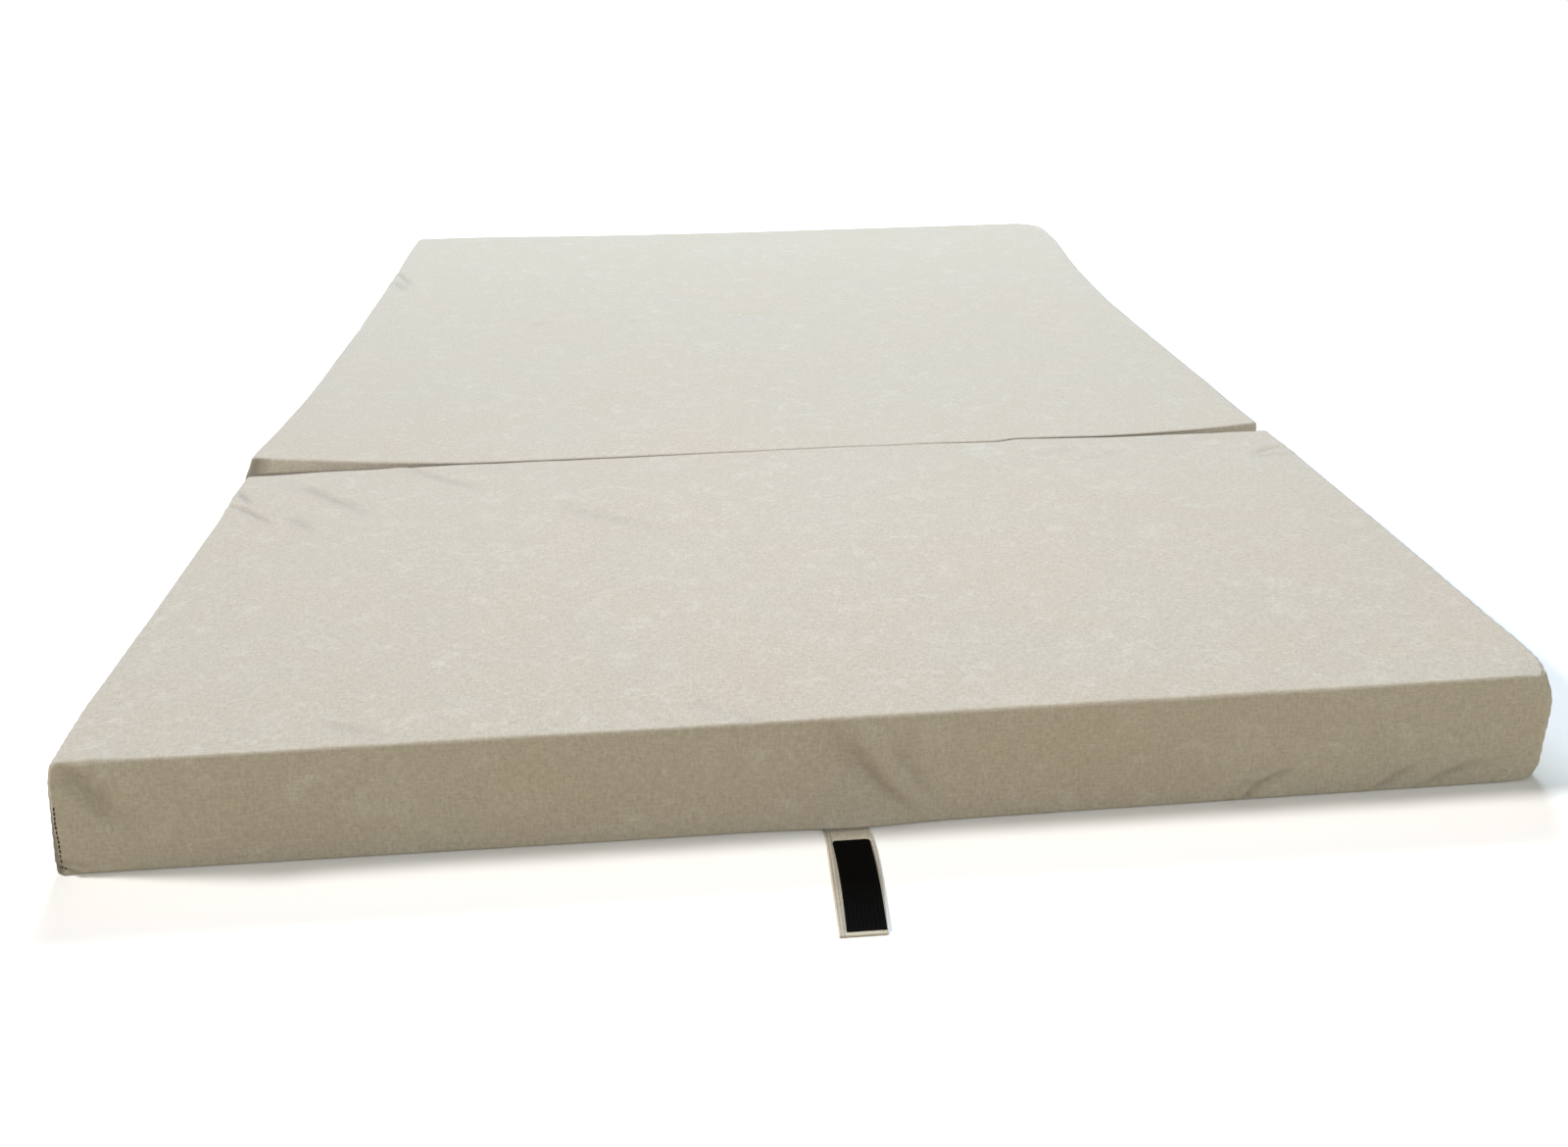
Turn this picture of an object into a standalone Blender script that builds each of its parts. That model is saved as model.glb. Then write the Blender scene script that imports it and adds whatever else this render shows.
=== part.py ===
"""Folding mattress: three foam sections in sewn covers that fold like a letter Z.

The mattress lies flat. +X is to its right, +Y runs from the near section to the far one, and
+Z is up. The origin is on the underside, in the middle of the middle section. Metres.
"""

import math
from collections import namedtuple

import bmesh
import bpy
from mathutils import Matrix, Vector

# Driving dimensions of the mattress
MATTRESS_WIDTH = 1.200
MATTRESS_LENGTH = 2.000
MATTRESS_HEIGHT = 0.100
FOLD_GAP = 0.006
CLEARANCE = 0.0003

# Cover and foam
COVER_THICKNESS = 0.0012
FOAM_CLEARANCE = 0.0005
CROWN_RISE = 0.003
CROWN_REACH = 0.200
TOP_EDGE_RADIUS = 0.009
CRISP_EDGE_RADIUS = 0.004
FOLD_EDGE_RADIUS = 0.0022
BASE_EDGE_RADIUS = 0.002
WAIST_DEPTH = 0.009

# How much further than the top edge's radius each corner is rounded, seen from above
CORNER_SOFTNESS = 0.003
FRONT_RIGHT_SOFTNESS = 0.016
FAR_RIGHT_SOFTNESS = 0.060
MIDDLE_CORNER_SOFTNESS = 0.008

# The middle section's near wall leans back at both ends, so that the near fold gapes there
LEAN_LEFT = 0.045
LEAN_RIGHT = 0.020
LEAN_MIDDLE = 0.003
LEAN_SPAN = 0.300
LEAN_FADE = 0.150

# Fabric strips that hinge the folds
STRIP_THICKNESS = 0.0008
STRIP_END_MARGIN = 0.020

# Closing strap on the near section, and its mate in the far fold
STRAP_WIDTH = 0.036
STRAP_LENGTH = 0.1485
STRAP_THICKNESS = 0.0016
STRAP_CENTRE_X = 0.0135
STRAP_END_ROUNDING = 0.0003
TAPE_WIDTH = 0.030
TAPE_THICKNESS = 0.0010
TAPE_START = 0.0248
TAPE_END_MARGIN = 0.004
LOOP_STRAP_HEADROOM = 0.012

# Zip on the left wall of each section
ZIP_LENGTH = 0.520
ZIP_HEIGHT = 0.050
COIL_WIDTH = 0.006
COIL_PROUD = 0.0010
COIL_DEPTH = 0.0020
ZIP_TAPE_WIDTH = 0.0055
ZIP_TAPE_THICKNESS = 0.0008
STOP_LENGTH = 0.003
STOP_THICKNESS = 0.0012
SLIDER_LENGTH = 0.012
SLIDER_WIDTH = 0.009
SLIDER_THICKNESS = 0.0024
SLIDER_EDGE = 0.0006
BRIDGE_WIDTH = 0.0024
BRIDGE_POST = 0.0012
BRIDGE_BAR = 0.0010
PULL_PIN = 0.0012
PULL_PLAY = 0.0004
PULL_LENGTH = 0.024
PULL_RIM = 0.0015
PULL_EDGE = 0.0003

# Shares that shape the soft forms, and their counts of steps
CORNER_STEPS = 4
EDGE_STEPS = 3
WALL_STEPS = 10
CROWN_RING_shares = (0.22, 0.55, 1.0)
RING_CORNER_share = 0.5
LEAST_RADIUS_share = 0.1
MOST_RADIUS_share = 0.45
STRAP_ROOT_STEPS = 6
CUT_OVERRUN = 0.004

# Colours as linear red, green and blue, then roughness and metallic
FINISHES = {
    "cover_drill": ((0.680, 0.630, 0.530), 0.90, 0.0),
    "foam": ((0.780, 0.740, 0.560), 0.95, 0.0),
    "strap_drill": ((0.620, 0.580, 0.470), 0.90, 0.0),
    "hook_tape": ((0.008, 0.008, 0.009), 0.80, 0.0),
    "loop_tape": ((0.012, 0.012, 0.013), 0.95, 0.0),
    "zip_tape": ((0.640, 0.600, 0.500), 0.85, 0.0),
    "zip_coil": ((0.700, 0.670, 0.590), 0.45, 0.0),
    "zip_metal": ((0.600, 0.590, 0.570), 0.30, 1.0),
}

# Values that follow from the sizes above
HALF_WIDTH = MATTRESS_WIDTH / 2
SECTION_LENGTH = (MATTRESS_LENGTH - 2 * FOLD_GAP) / 3
NEAR_END_Y = -MATTRESS_LENGTH / 2
FAR_END_Y = MATTRESS_LENGTH / 2
FOLD_NEAR_Y = NEAR_END_Y + SECTION_LENGTH + FOLD_GAP / 2
FOLD_FAR_Y = FAR_END_Y - SECTION_LENGTH - FOLD_GAP / 2
FOLD_NEAR_Z = -CLEARANCE / 2
FOLD_FAR_Z = MATTRESS_HEIGHT + CLEARANCE / 2

Section = namedtuple("Section", "name near_y far_y softness edges free_near free_far")
OutlinePoint = namedtuple("OutlinePoint", "x y out_x out_y edge")


def clear_scene():
    """Removes what the file opened with."""
    for thing in list(bpy.data.objects):
        bpy.data.objects.remove(thing, do_unlink=True)


def finish(name):
    """The Principled material of one finish, made once."""
    found = bpy.data.materials.get(name)
    if found:
        return found
    colour, roughness, metallic = FINISHES[name]
    material = bpy.data.materials.new(name)
    material.use_nodes = True
    shader = material.node_tree.nodes["Principled BSDF"]
    shader.inputs["Base Color"].default_value = (*colour, 1.0)
    shader.inputs["Roughness"].default_value = roughness
    shader.inputs["Metallic"].default_value = metallic
    material.diffuse_color = (*colour, 1.0)
    return material


def pivot(name, place, parent=None):
    """An empty on a joint's axis, or at a section's own reference point."""
    empty = bpy.data.objects.new(name, None)
    bpy.context.scene.collection.objects.link(empty)
    empty.matrix_world = place
    if parent is not None:
        empty.parent = parent
        empty.matrix_parent_inverse = parent.matrix_world.inverted()
    bpy.context.view_layer.update()
    return empty


def piece(name, bm, finish_name, parent, place=None, smooth_angle=None):
    """Turns a bmesh into a named piece that hangs from its pivot."""
    mesh = bpy.data.meshes.new(name)
    bm.to_mesh(mesh)
    bm.free()
    if place is not None:
        mesh.transform(place)
    if smooth_angle is not None:
        mesh.shade_smooth()
        mesh.set_sharp_from_angle(angle=smooth_angle)
    thing = bpy.data.objects.new(name, mesh)
    bpy.context.scene.collection.objects.link(thing)
    thing.parent = parent
    thing.matrix_parent_inverse = parent.matrix_world.inverted()
    if finish_name:
        mesh.materials.append(finish(finish_name))
    return thing


def cutter(name, bm, parent, place=None):
    """A guide that only cuts other pieces."""
    guide = piece(name, bm, None, parent, place)
    guide.hide_render = True
    guide.display_type = "WIRE"
    return guide


def combine(thing, guide, operation):
    """Cuts a guide out of a piece, or joins it on."""
    boolean = thing.modifiers.new(guide.name, "BOOLEAN")
    boolean.operation = operation
    boolean.solver = "EXACT"
    boolean.object = guide


def block(low, high, edge=0.0):
    """A box between two corners, its edges rounded off when edge is given."""
    bm = bmesh.new()
    size = Vector(high) - Vector(low)
    centre = (Vector(high) + Vector(low)) / 2
    place = Matrix.Translation(centre) @ Matrix.Diagonal((*size, 1.0))
    bmesh.ops.create_cube(bm, size=1.0, matrix=place)
    if edge:
        bmesh.ops.bevel(bm, geom=bm.edges[:], offset=edge, segments=1, profile=0.5, affect="EDGES", material=-1)
    return bm


def waist(y):
    """How far the side walls are drawn in at y: most at the far fold, nothing a section away."""
    return WAIST_DEPTH * max(0.0, 1.0 - abs(y - FOLD_FAR_Y) / SECTION_LENGTH)


def lean(x, y, z, section):
    """How far the near wall of the middle section leans back at a point."""
    if section.name != "middle":
        return 0.0
    left = LEAN_LEFT * max(0.0, 1.0 - (x + HALF_WIDTH) / LEAN_SPAN) ** 2
    right = LEAN_RIGHT * max(0.0, 1.0 - (HALF_WIDTH - x) / LEAN_SPAN) ** 2
    into = max(0.0, 1.0 - max(0.0, y - section.near_y) / LEAN_FADE)
    return (left + right + LEAN_MIDDLE) * into * z / MATTRESS_HEIGHT


def settled(x, y, z, section):
    """A point of the plain form, moved by the lean and the waist."""
    y = y + lean(x, y, z, section)
    x = x * (HALF_WIDTH - waist(y)) / HALF_WIDTH
    return Vector((x, y, z))


def top_height(x, y, section):
    """Height of the crowned top: lowest at the free edges, full beyond the crown's reach."""
    reach = [x + HALF_WIDTH, HALF_WIDTH - x]
    if section.free_near:
        reach.append(y - section.near_y)
    if section.free_far:
        reach.append(section.far_y - y)
    inward = min(1.0, max(0.0, min(reach)) / CROWN_REACH)
    return MATTRESS_HEIGHT - CROWN_RISE * (1.0 - math.sin(inward * math.pi / 2))


def outline(section, inset, corner_growth=0.0):
    """The section's outline from above, drawn in by inset, anticlockwise from the near-left corner."""
    low = Vector((-HALF_WIDTH + inset, section.near_y + inset))
    high = Vector((HALF_WIDTH - inset, section.far_y - inset))
    near_edge, right_edge, far_edge, left_edge = section.edges
    corners = (
        (low.x, low.y, 1, 1, left_edge, near_edge),
        (high.x, low.y, -1, 1, near_edge, right_edge),
        (high.x, high.y, -1, -1, right_edge, far_edge),
        (low.x, high.y, 1, -1, far_edge, left_edge),
    )
    zip_share = ZIP_LENGTH / SECTION_LENGTH
    across = [step / WALL_STEPS for step in range(1, WALL_STEPS)]
    along = [(1 - zip_share) / 2, (1 + zip_share) / 2]
    most_radius = min(high.x - low.x, high.y - low.y) * MOST_RADIUS_share
    turns = []
    for number, (x, y, inward_x, inward_y, edge_in, edge_out) in enumerate(corners):
        full = max(edge_in, edge_out) + section.softness[number]
        radius = max(full - inset, full * LEAST_RADIUS_share) + corner_growth
        radius = min(radius, most_radius)
        centre = Vector((x + inward_x * radius, y + inward_y * radius))
        turn = []
        for step in range(CORNER_STEPS + 1):
            share = step / CORNER_STEPS
            angle = math.pi + (number + share) * math.pi / 2
            out = Vector((math.cos(angle), math.sin(angle)))
            edge = edge_in + (edge_out - edge_in) * share
            spot = centre + radius * out
            turn.append(OutlinePoint(spot.x, spot.y, out.x, out.y, edge))
        turns.append(turn)
    ring = []
    for number, turn in enumerate(turns):
        ring.extend(turn)
        last = turn[-1]
        following = turns[(number + 1) % len(turns)][0]
        for share in across if number % 2 == 0 else along:
            x = last.x + (following.x - last.x) * share
            y = last.y + (following.y - last.y) * share
            ring.append(OutlinePoint(x, y, last.out_x, last.out_y, last.edge))
    return ring


def soft_form(section, inside):
    """The closed form of a section: flat base, upright walls, rounded top edge and crowned top.

    inside is how far it lies inside the cover's outer face: 0 for the cover itself.
    """
    bm = bmesh.new()
    rings = []

    def add_ring(spots):
        rings.append([bm.verts.new(settled(x, y, z, section)) for x, y, z in spots])

    wall = outline(section, inside)
    base_edge = max(BASE_EDGE_RADIUS - inside, BASE_EDGE_RADIUS * LEAST_RADIUS_share)
    base = [(p.x - p.out_x * base_edge, p.y - p.out_y * base_edge, inside) for p in wall]
    add_ring(base)
    add_ring([(p.x, p.y, inside + base_edge) for p in wall])
    edges = [max(p.edge - inside, p.edge * LEAST_RADIUS_share) for p in wall]
    for step in range(EDGE_STEPS + 1):
        angle = step / EDGE_STEPS * math.pi / 2
        spots = []
        for p, edge in zip(wall, edges):
            drawn_in = edge * (1 - math.cos(angle))
            x = p.x - p.out_x * drawn_in
            y = p.y - p.out_y * drawn_in
            top = top_height(p.x - p.out_x * edge, p.y - p.out_y * edge, section) - inside
            spots.append((x, y, top - edge * (1 - math.sin(angle))))
        add_ring(spots)
    for share in CROWN_RING_shares:
        inset = inside + share * CROWN_REACH
        crown = outline(section, inset, inset * RING_CORNER_share)
        add_ring([(p.x, p.y, top_height(p.x, p.y, section) - inside) for p in crown])
    sides = []
    for lower, upper in zip(rings, rings[1:]):
        for spot in range(len(lower)):
            after = (spot + 1) % len(lower)
            sides.append(bm.faces.new((lower[spot], lower[after], upper[after], upper[spot])))
    bmesh.ops.triangulate(bm, faces=sides, quad_method="FIXED")
    bm.faces.new(list(reversed(rings[0])))
    bm.faces.new(rings[-1])
    return bm


def zip_frame(section):
    """Where a zip sits: local +X points out of the left wall, local +Z is up."""
    near_x = -(HALF_WIDTH - waist(section.near_y))
    far_x = -(HALF_WIDTH - waist(section.far_y))
    tilt = -math.atan2(far_x - near_x, section.far_y - section.near_y)
    centre = Vector(((near_x + far_x) / 2, (section.near_y + section.far_y) / 2, ZIP_HEIGHT))
    return Matrix.Translation(centre) @ Matrix.Rotation(math.pi + tilt, 4, "Z")


def slit_half_height():
    """Half the height of the slit that the coil and the two tapes fill."""
    return COIL_WIDTH / 2 + CLEARANCE + ZIP_TAPE_WIDTH + CLEARANCE


def add_section(section, parent):
    """The cover of a section with its zip slit, and the foam block inside it."""
    cover = piece(f"{section.name}_cover", soft_form(section, 0.0), "cover_drill", parent)
    cavity = cutter(f"{section.name}_cavity", soft_form(section, COVER_THICKNESS), parent)
    tall = slit_half_height()
    deep = COVER_THICKNESS + CUT_OVERRUN
    low = (-deep, -ZIP_LENGTH / 2, -tall)
    high = (CUT_OVERRUN, ZIP_LENGTH / 2, tall)
    slit = cutter(f"{section.name}_slit", block(low, high), parent, zip_frame(section))
    combine(cover, cavity, "DIFFERENCE")
    combine(cover, slit, "DIFFERENCE")
    inside = COVER_THICKNESS + FOAM_CLEARANCE
    piece(f"{section.name}_foam", soft_form(section, inside), "foam", parent)


def slider_body(parent, name, frame):
    """Slider plate with the bridge that holds the pull: local Y runs along the zip."""
    seat = COIL_PROUD + CLEARANCE
    top = seat + SLIDER_THICKNESS
    half_long = SLIDER_LENGTH / 2
    half_wide = SLIDER_WIDTH / 2
    plate = block((seat, -half_long, -half_wide), (top, half_long, half_wide), SLIDER_EDGE)
    slider = piece(name, plate, "zip_metal", parent, frame)
    opening = PULL_PIN + 2 * PULL_PLAY
    half_span = opening / 2 + BRIDGE_POST
    rise = opening + BRIDGE_BAR
    foot = top - SLIDER_EDGE
    half_bridge = BRIDGE_WIDTH / 2
    arch_low = (foot, -half_span, -half_bridge)
    arch_high = (top + rise, half_span, half_bridge)
    arch = cutter(f"{name}_arch", block(arch_low, arch_high), parent, frame)
    hole_low = (top, -opening / 2, -half_bridge - CUT_OVERRUN)
    hole_high = (top + opening, opening / 2, half_bridge + CUT_OVERRUN)
    hole = cutter(f"{name}_hole", block(hole_low, hole_high), parent, frame)
    combine(arch, hole, "DIFFERENCE")
    combine(slider, arch, "UNION")
    return top + opening / 2


def pull_tab(parent, name, frame, pin_x):
    """Pull tab that hangs on the slider's bridge and lies flat along the zip."""
    half_pin = PULL_PIN / 2
    half_bridge = BRIDGE_WIDTH / 2
    rim = half_bridge + PULL_PLAY + PULL_RIM
    span = PULL_PIN / 2 + 2 * PULL_PLAY + BRIDGE_POST + PULL_PLAY
    low = (pin_x - half_pin, -half_pin, -rim)
    high = (pin_x + half_pin, PULL_LENGTH, rim)
    tab = piece(name, block(low, high, PULL_EDGE), "zip_metal", parent, frame)
    eye_low = (pin_x - half_pin - CUT_OVERRUN, half_pin, -half_bridge - PULL_PLAY)
    eye_high = (pin_x + half_pin + CUT_OVERRUN, half_pin + span + BRIDGE_BAR, half_bridge + PULL_PLAY)
    eye = cutter(f"{name}_eye", block(eye_low, eye_high), parent, frame)
    combine(tab, eye, "DIFFERENCE")


def add_zip(section, parent):
    """Coil chain, two tapes, two stops, slider and pull tab of one section's zip."""
    frame = zip_frame(section)
    half_long = ZIP_LENGTH / 2 - CLEARANCE
    half_coil = COIL_WIDTH / 2
    coil_low = (COIL_PROUD - COIL_DEPTH, -half_long, -half_coil)
    coil_high = (COIL_PROUD, half_long, half_coil)
    piece(f"{section.name}_zip_coil", block(coil_low, coil_high), "zip_coil", parent, frame)
    tape_front = -CLEARANCE / 2
    tape_back = tape_front - ZIP_TAPE_THICKNESS
    for side, sign in (("upper", 1), ("lower", -1)):
        ends = sorted((sign * (half_coil + CLEARANCE), sign * (half_coil + CLEARANCE + ZIP_TAPE_WIDTH)))
        tape = block((tape_back, -half_long, ends[0]), (tape_front, half_long, ends[1]))
        piece(f"{section.name}_zip_tape_{side}", tape, "zip_tape", parent, frame)
    stop_front = COIL_PROUD + CLEARANCE + STOP_THICKNESS
    for end, sign in (("start", 1), ("end", -1)):
        ends = sorted((sign * half_long, sign * (half_long - STOP_LENGTH)))
        stop = block((COIL_PROUD + CLEARANCE, ends[0], -half_coil), (stop_front, ends[1], half_coil))
        piece(f"{section.name}_zip_{end}_stop", stop, "zip_metal", parent, frame)
    parked = frame @ Matrix.Translation((0.0, half_long - STOP_LENGTH - CLEARANCE - SLIDER_LENGTH / 2, 0.0))
    slider_pivot = pivot(f"{section.name}_slider_pivot", parked, parent)
    pin_x = slider_body(slider_pivot, f"{section.name}_zip_slider", parked)
    hinge = parked @ Matrix.Translation((pin_x, 0.0, 0.0))
    pull_pivot = pivot(f"{section.name}_pull_pivot", hinge, slider_pivot)
    turned = parked @ Matrix.Translation((pin_x, 0.0, 0.0)) @ Matrix.Rotation(math.pi, 4, "Z")
    turned = turned @ Matrix.Translation((-pin_x, 0.0, 0.0))
    pull_tab(pull_pivot, f"{section.name}_zip_pull", turned, pin_x)


def add_fold_strip(name, fold_y, low_z, parent):
    """Fabric strip that bridges a fold and bends as its hinge."""
    half_gap = FOLD_GAP / 2 - CLEARANCE
    half_long = HALF_WIDTH - waist(fold_y) - STRIP_END_MARGIN
    low = (-half_long, fold_y - half_gap, low_z)
    high = (half_long, fold_y + half_gap, low_z + STRIP_THICKNESS)
    piece(name, block(low, high), "cover_drill", parent)


def strap_solid(length):
    """A flat strap along -Y with a round root about its hinge line."""
    bm = bmesh.new()
    radius = STRAP_THICKNESS / 2
    profile = []
    for step in range(STRAP_ROOT_STEPS + 1):
        angle = math.pi / 2 - step / STRAP_ROOT_STEPS * math.pi
        profile.append((radius * math.cos(angle), radius * math.sin(angle)))
    tip = STRAP_END_ROUNDING
    profile.append((-length + tip, -radius))
    profile.append((-length, -radius + tip))
    profile.append((-length, radius - tip))
    profile.append((-length + tip, radius))
    side = [bm.verts.new((-STRAP_WIDTH / 2, y, z)) for y, z in profile]
    face = bm.faces.new(side)
    made = bmesh.ops.extrude_face_region(bm, geom=[face])
    far_side = [item for item in made["geom"] if isinstance(item, bmesh.types.BMVert)]
    bmesh.ops.translate(bm, vec=(STRAP_WIDTH, 0.0, 0.0), verts=far_side)
    bmesh.ops.recalc_face_normals(bm, faces=bm.faces[:])
    return bm


def add_strap(name, tape_name, length, place, parent):
    """A strap on its hinge line, with the tape sewn along its upper face."""
    piece(name, strap_solid(length), "strap_drill", parent, place, math.radians(40))
    seat = STRAP_THICKNESS / 2 + CLEARANCE
    low = (-TAPE_WIDTH / 2, -length + TAPE_END_MARGIN, seat)
    high = (TAPE_WIDTH / 2, -TAPE_START, seat + TAPE_THICKNESS)
    piece(tape_name, block(low, high), tape_name, parent, place)


def build():
    """The whole mattress, hung from the far section."""
    clear_scene()
    corner = CORNER_SOFTNESS
    round_edge = TOP_EDGE_RADIUS
    crisp = CRISP_EDGE_RADIUS
    fold = FOLD_EDGE_RADIUS
    middle_near_y = NEAR_END_Y + SECTION_LENGTH + FOLD_GAP
    middle_far_y = middle_near_y + SECTION_LENGTH
    near = Section(
        "near", NEAR_END_Y, NEAR_END_Y + SECTION_LENGTH,
        (corner, FRONT_RIGHT_SOFTNESS, corner, corner), (round_edge, round_edge, crisp, round_edge), True, True,
    )
    middle = Section(
        "middle", middle_near_y, middle_far_y,
        (MIDDLE_CORNER_SOFTNESS, MIDDLE_CORNER_SOFTNESS, corner, corner),
        (round_edge, round_edge, fold, round_edge), True, False,
    )
    far = Section(
        "far", middle_far_y + FOLD_GAP, FAR_END_Y,
        (corner, corner, FAR_RIGHT_SOFTNESS, corner), (fold, round_edge, round_edge, round_edge), False, True,
    )

    far_pivot = pivot("far_section_pivot", Matrix.Translation((0.0, far.near_y, 0.0)))
    middle_pivot = pivot("fold_far_pivot", Matrix.Translation((0.0, FOLD_FAR_Y, FOLD_FAR_Z)), far_pivot)
    near_pivot = pivot("fold_near_pivot", Matrix.Translation((0.0, FOLD_NEAR_Y, FOLD_NEAR_Z)), middle_pivot)
    for section, parent in ((near, near_pivot), (middle, middle_pivot), (far, far_pivot)):
        add_section(section, parent)
        add_zip(section, parent)

    add_fold_strip("near_fold_strip", FOLD_NEAR_Y, CLEARANCE, middle_pivot)
    far_strip_z = MATTRESS_HEIGHT - CLEARANCE - STRIP_THICKNESS
    add_fold_strip("far_fold_strip", FOLD_FAR_Y, far_strip_z, far_pivot)

    root_y = near.near_y - CLEARANCE - STRAP_THICKNESS / 2
    strap_place = Matrix.Translation((STRAP_CENTRE_X, root_y, STRAP_THICKNESS / 2))
    strap_pivot = pivot("strap_pivot", strap_place, near_pivot)
    add_strap("closing_strap", "hook_tape", STRAP_LENGTH, strap_place, strap_pivot)

    loop_y = far.near_y - CLEARANCE - TAPE_THICKNESS - CLEARANCE - STRAP_THICKNESS / 2
    upright = Matrix.Translation((STRAP_CENTRE_X, loop_y, STRAP_THICKNESS / 2)) @ Matrix.Rotation(-math.pi / 2, 4, "X")
    loop_pivot = pivot("loop_strap_pivot", upright, far_pivot)
    loop_length = MATTRESS_HEIGHT - LOOP_STRAP_HEADROOM
    add_strap("loop_strap", "loop_tape", loop_length, upright, loop_pivot)


build()
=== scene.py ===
# %% [markdown]
# # A folding mattress, dressed for its picture
# The mattress is three foam blocks in one set of sewn covers. It folds like a letter Z: the first
# fold is hinged along the floor, the second along the top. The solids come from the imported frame.
# This file gives them soft fabric, seams, creases, a hook tape and zips, and sets up the light.

import math

import bmesh
import bpy
import numpy as np
from mathutils import Matrix, Vector, noise
from mathutils.bvhtree import BVHTree


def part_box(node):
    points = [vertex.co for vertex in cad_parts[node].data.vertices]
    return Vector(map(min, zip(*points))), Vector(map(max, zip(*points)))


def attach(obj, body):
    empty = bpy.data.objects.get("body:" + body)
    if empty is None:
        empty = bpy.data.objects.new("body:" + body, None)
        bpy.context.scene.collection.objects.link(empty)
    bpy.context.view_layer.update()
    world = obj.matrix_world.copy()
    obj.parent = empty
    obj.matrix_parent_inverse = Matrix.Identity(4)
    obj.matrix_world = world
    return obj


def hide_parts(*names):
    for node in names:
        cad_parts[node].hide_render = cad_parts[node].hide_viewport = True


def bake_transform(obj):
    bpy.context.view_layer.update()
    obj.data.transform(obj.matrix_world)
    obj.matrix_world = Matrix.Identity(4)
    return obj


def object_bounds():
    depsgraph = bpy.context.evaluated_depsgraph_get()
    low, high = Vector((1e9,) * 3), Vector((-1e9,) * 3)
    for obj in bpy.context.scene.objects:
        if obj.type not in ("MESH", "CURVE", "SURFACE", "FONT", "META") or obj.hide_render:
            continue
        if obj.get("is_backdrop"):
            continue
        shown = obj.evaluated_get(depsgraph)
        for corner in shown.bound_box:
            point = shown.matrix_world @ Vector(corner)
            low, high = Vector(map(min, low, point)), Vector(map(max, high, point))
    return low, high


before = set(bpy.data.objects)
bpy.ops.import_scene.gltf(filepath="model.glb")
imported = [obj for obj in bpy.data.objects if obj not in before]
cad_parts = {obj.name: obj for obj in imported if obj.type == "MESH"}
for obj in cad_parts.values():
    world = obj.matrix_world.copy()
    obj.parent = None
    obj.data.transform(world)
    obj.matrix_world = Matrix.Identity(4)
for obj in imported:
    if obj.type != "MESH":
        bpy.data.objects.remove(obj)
FRAME_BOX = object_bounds()
print("nodes", len(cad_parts), "box", [tuple(round(v, 4) for v in corner) for corner in FRAME_BOX])

# %% [markdown]
# ## Colours and nodes
# Colours are written as the hex values that a screen shows, and Blender wants linear light, so one
# function converts them. Each material comes with a function that adds nodes to it. What a socket
# holds and what feeds it are given alike, so that a material is short enough to read as a recipe.


# %% Colour and node helpers
def linear(code):
    """A colour such as d8d2c4 as linear red, green, blue and alpha."""
    shares = [int(code[at:at + 2], 16) / 255 for at in (0, 2, 4)]
    return tuple(s / 12.92 if s <= 0.04045 else ((s + 0.055) / 1.055) ** 2.4 for s in shares) + (1.0,)


def node_adder(tree):
    """Empties a node tree, and gives the function that adds nodes to it."""
    tree.nodes.clear()

    def add(kind, sockets=None, output=None, **settings):
        """Adds a node and gives one of its outputs: the one named, or the first in use."""
        node = tree.nodes.new("ShaderNode" + kind)
        for setting, value in settings.items():
            setattr(node, setting, value)
        for socket, value in (sockets or {}).items():
            if isinstance(value, bpy.types.NodeSocket):
                tree.links.new(value, node.inputs[socket])
            else:
                node.inputs[socket].default_value = value
        return node.outputs[output] if output else next((out for out in node.outputs if out.enabled), None)

    return add


def new_material(name):
    """An empty material, and the function that adds nodes to it."""
    material = bpy.data.materials.new(name)
    material.use_nodes = True
    return material, node_adder(material.node_tree)


def cloud(add, place, size, detail, rough=0.5, bend=0.0):
    """Noise with features of about that size."""
    return add("TexNoise", {"Vector": place, "Scale": 1 / size, "Detail": detail, "Roughness": rough,
                            "Distortion": bend})


def mix(add, first, second, share=1.0, how="MIX"):
    """One colour mixed or multiplied with another."""
    return add("Mix", {"Factor": share, "A": first, "B": second}, data_type="RGBA", blend_type=how)


def mapped(add, value, low, high, least=0.0, most=1.0):
    """A value that goes from least to most while the given one goes from low to high."""
    return add("MapRange", {"Value": value, "From Min": low, "From Max": high, "To Min": least,
                            "To Max": most})


def surface(add, **sockets):
    """The material's surface and output; a socket's name is written with _ for each space."""
    named = {socket.replace("_", " "): value for socket, value in sockets.items()}
    add("OutputMaterial", {"Surface": add("BsdfPrincipled", named)})


# %% [markdown]
# ## Brushed cotton drill
# The covers are a fine twill of cream cotton, brushed on one side. From two metres off the eye sees
# no threads: it sees slubs, which are short thick stretches of yarn, a faint mottle where the nap
# lies one way or the other, and a pale bloom where light grazes the nap. The bloom is partly the
# sheen of the surface and partly painted highlight: small pale flecks in the colour. Slubs are noise
# stretched along each yarn, on the cloth's own flat pattern, so that they turn with it round an edge.
# The real yarn is 0.4 mm, too fine for this picture, so the weave is drawn at 2 mm.

# %% Fabric recipe
MM = 0.001
SLUB_LENGTH = 7.0 * MM
SLUB_WIDTH = 2.2 * MM
GRAIN = 2.6 * MM
MOTTLE = 160 * MM
# How dark the painted shade of folds, seams and the strap's root makes the cloth at its deepest
FOLD_DARK = 0.40
TONE_SPREAD = 0.16
NAP = 22 * MM


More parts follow.
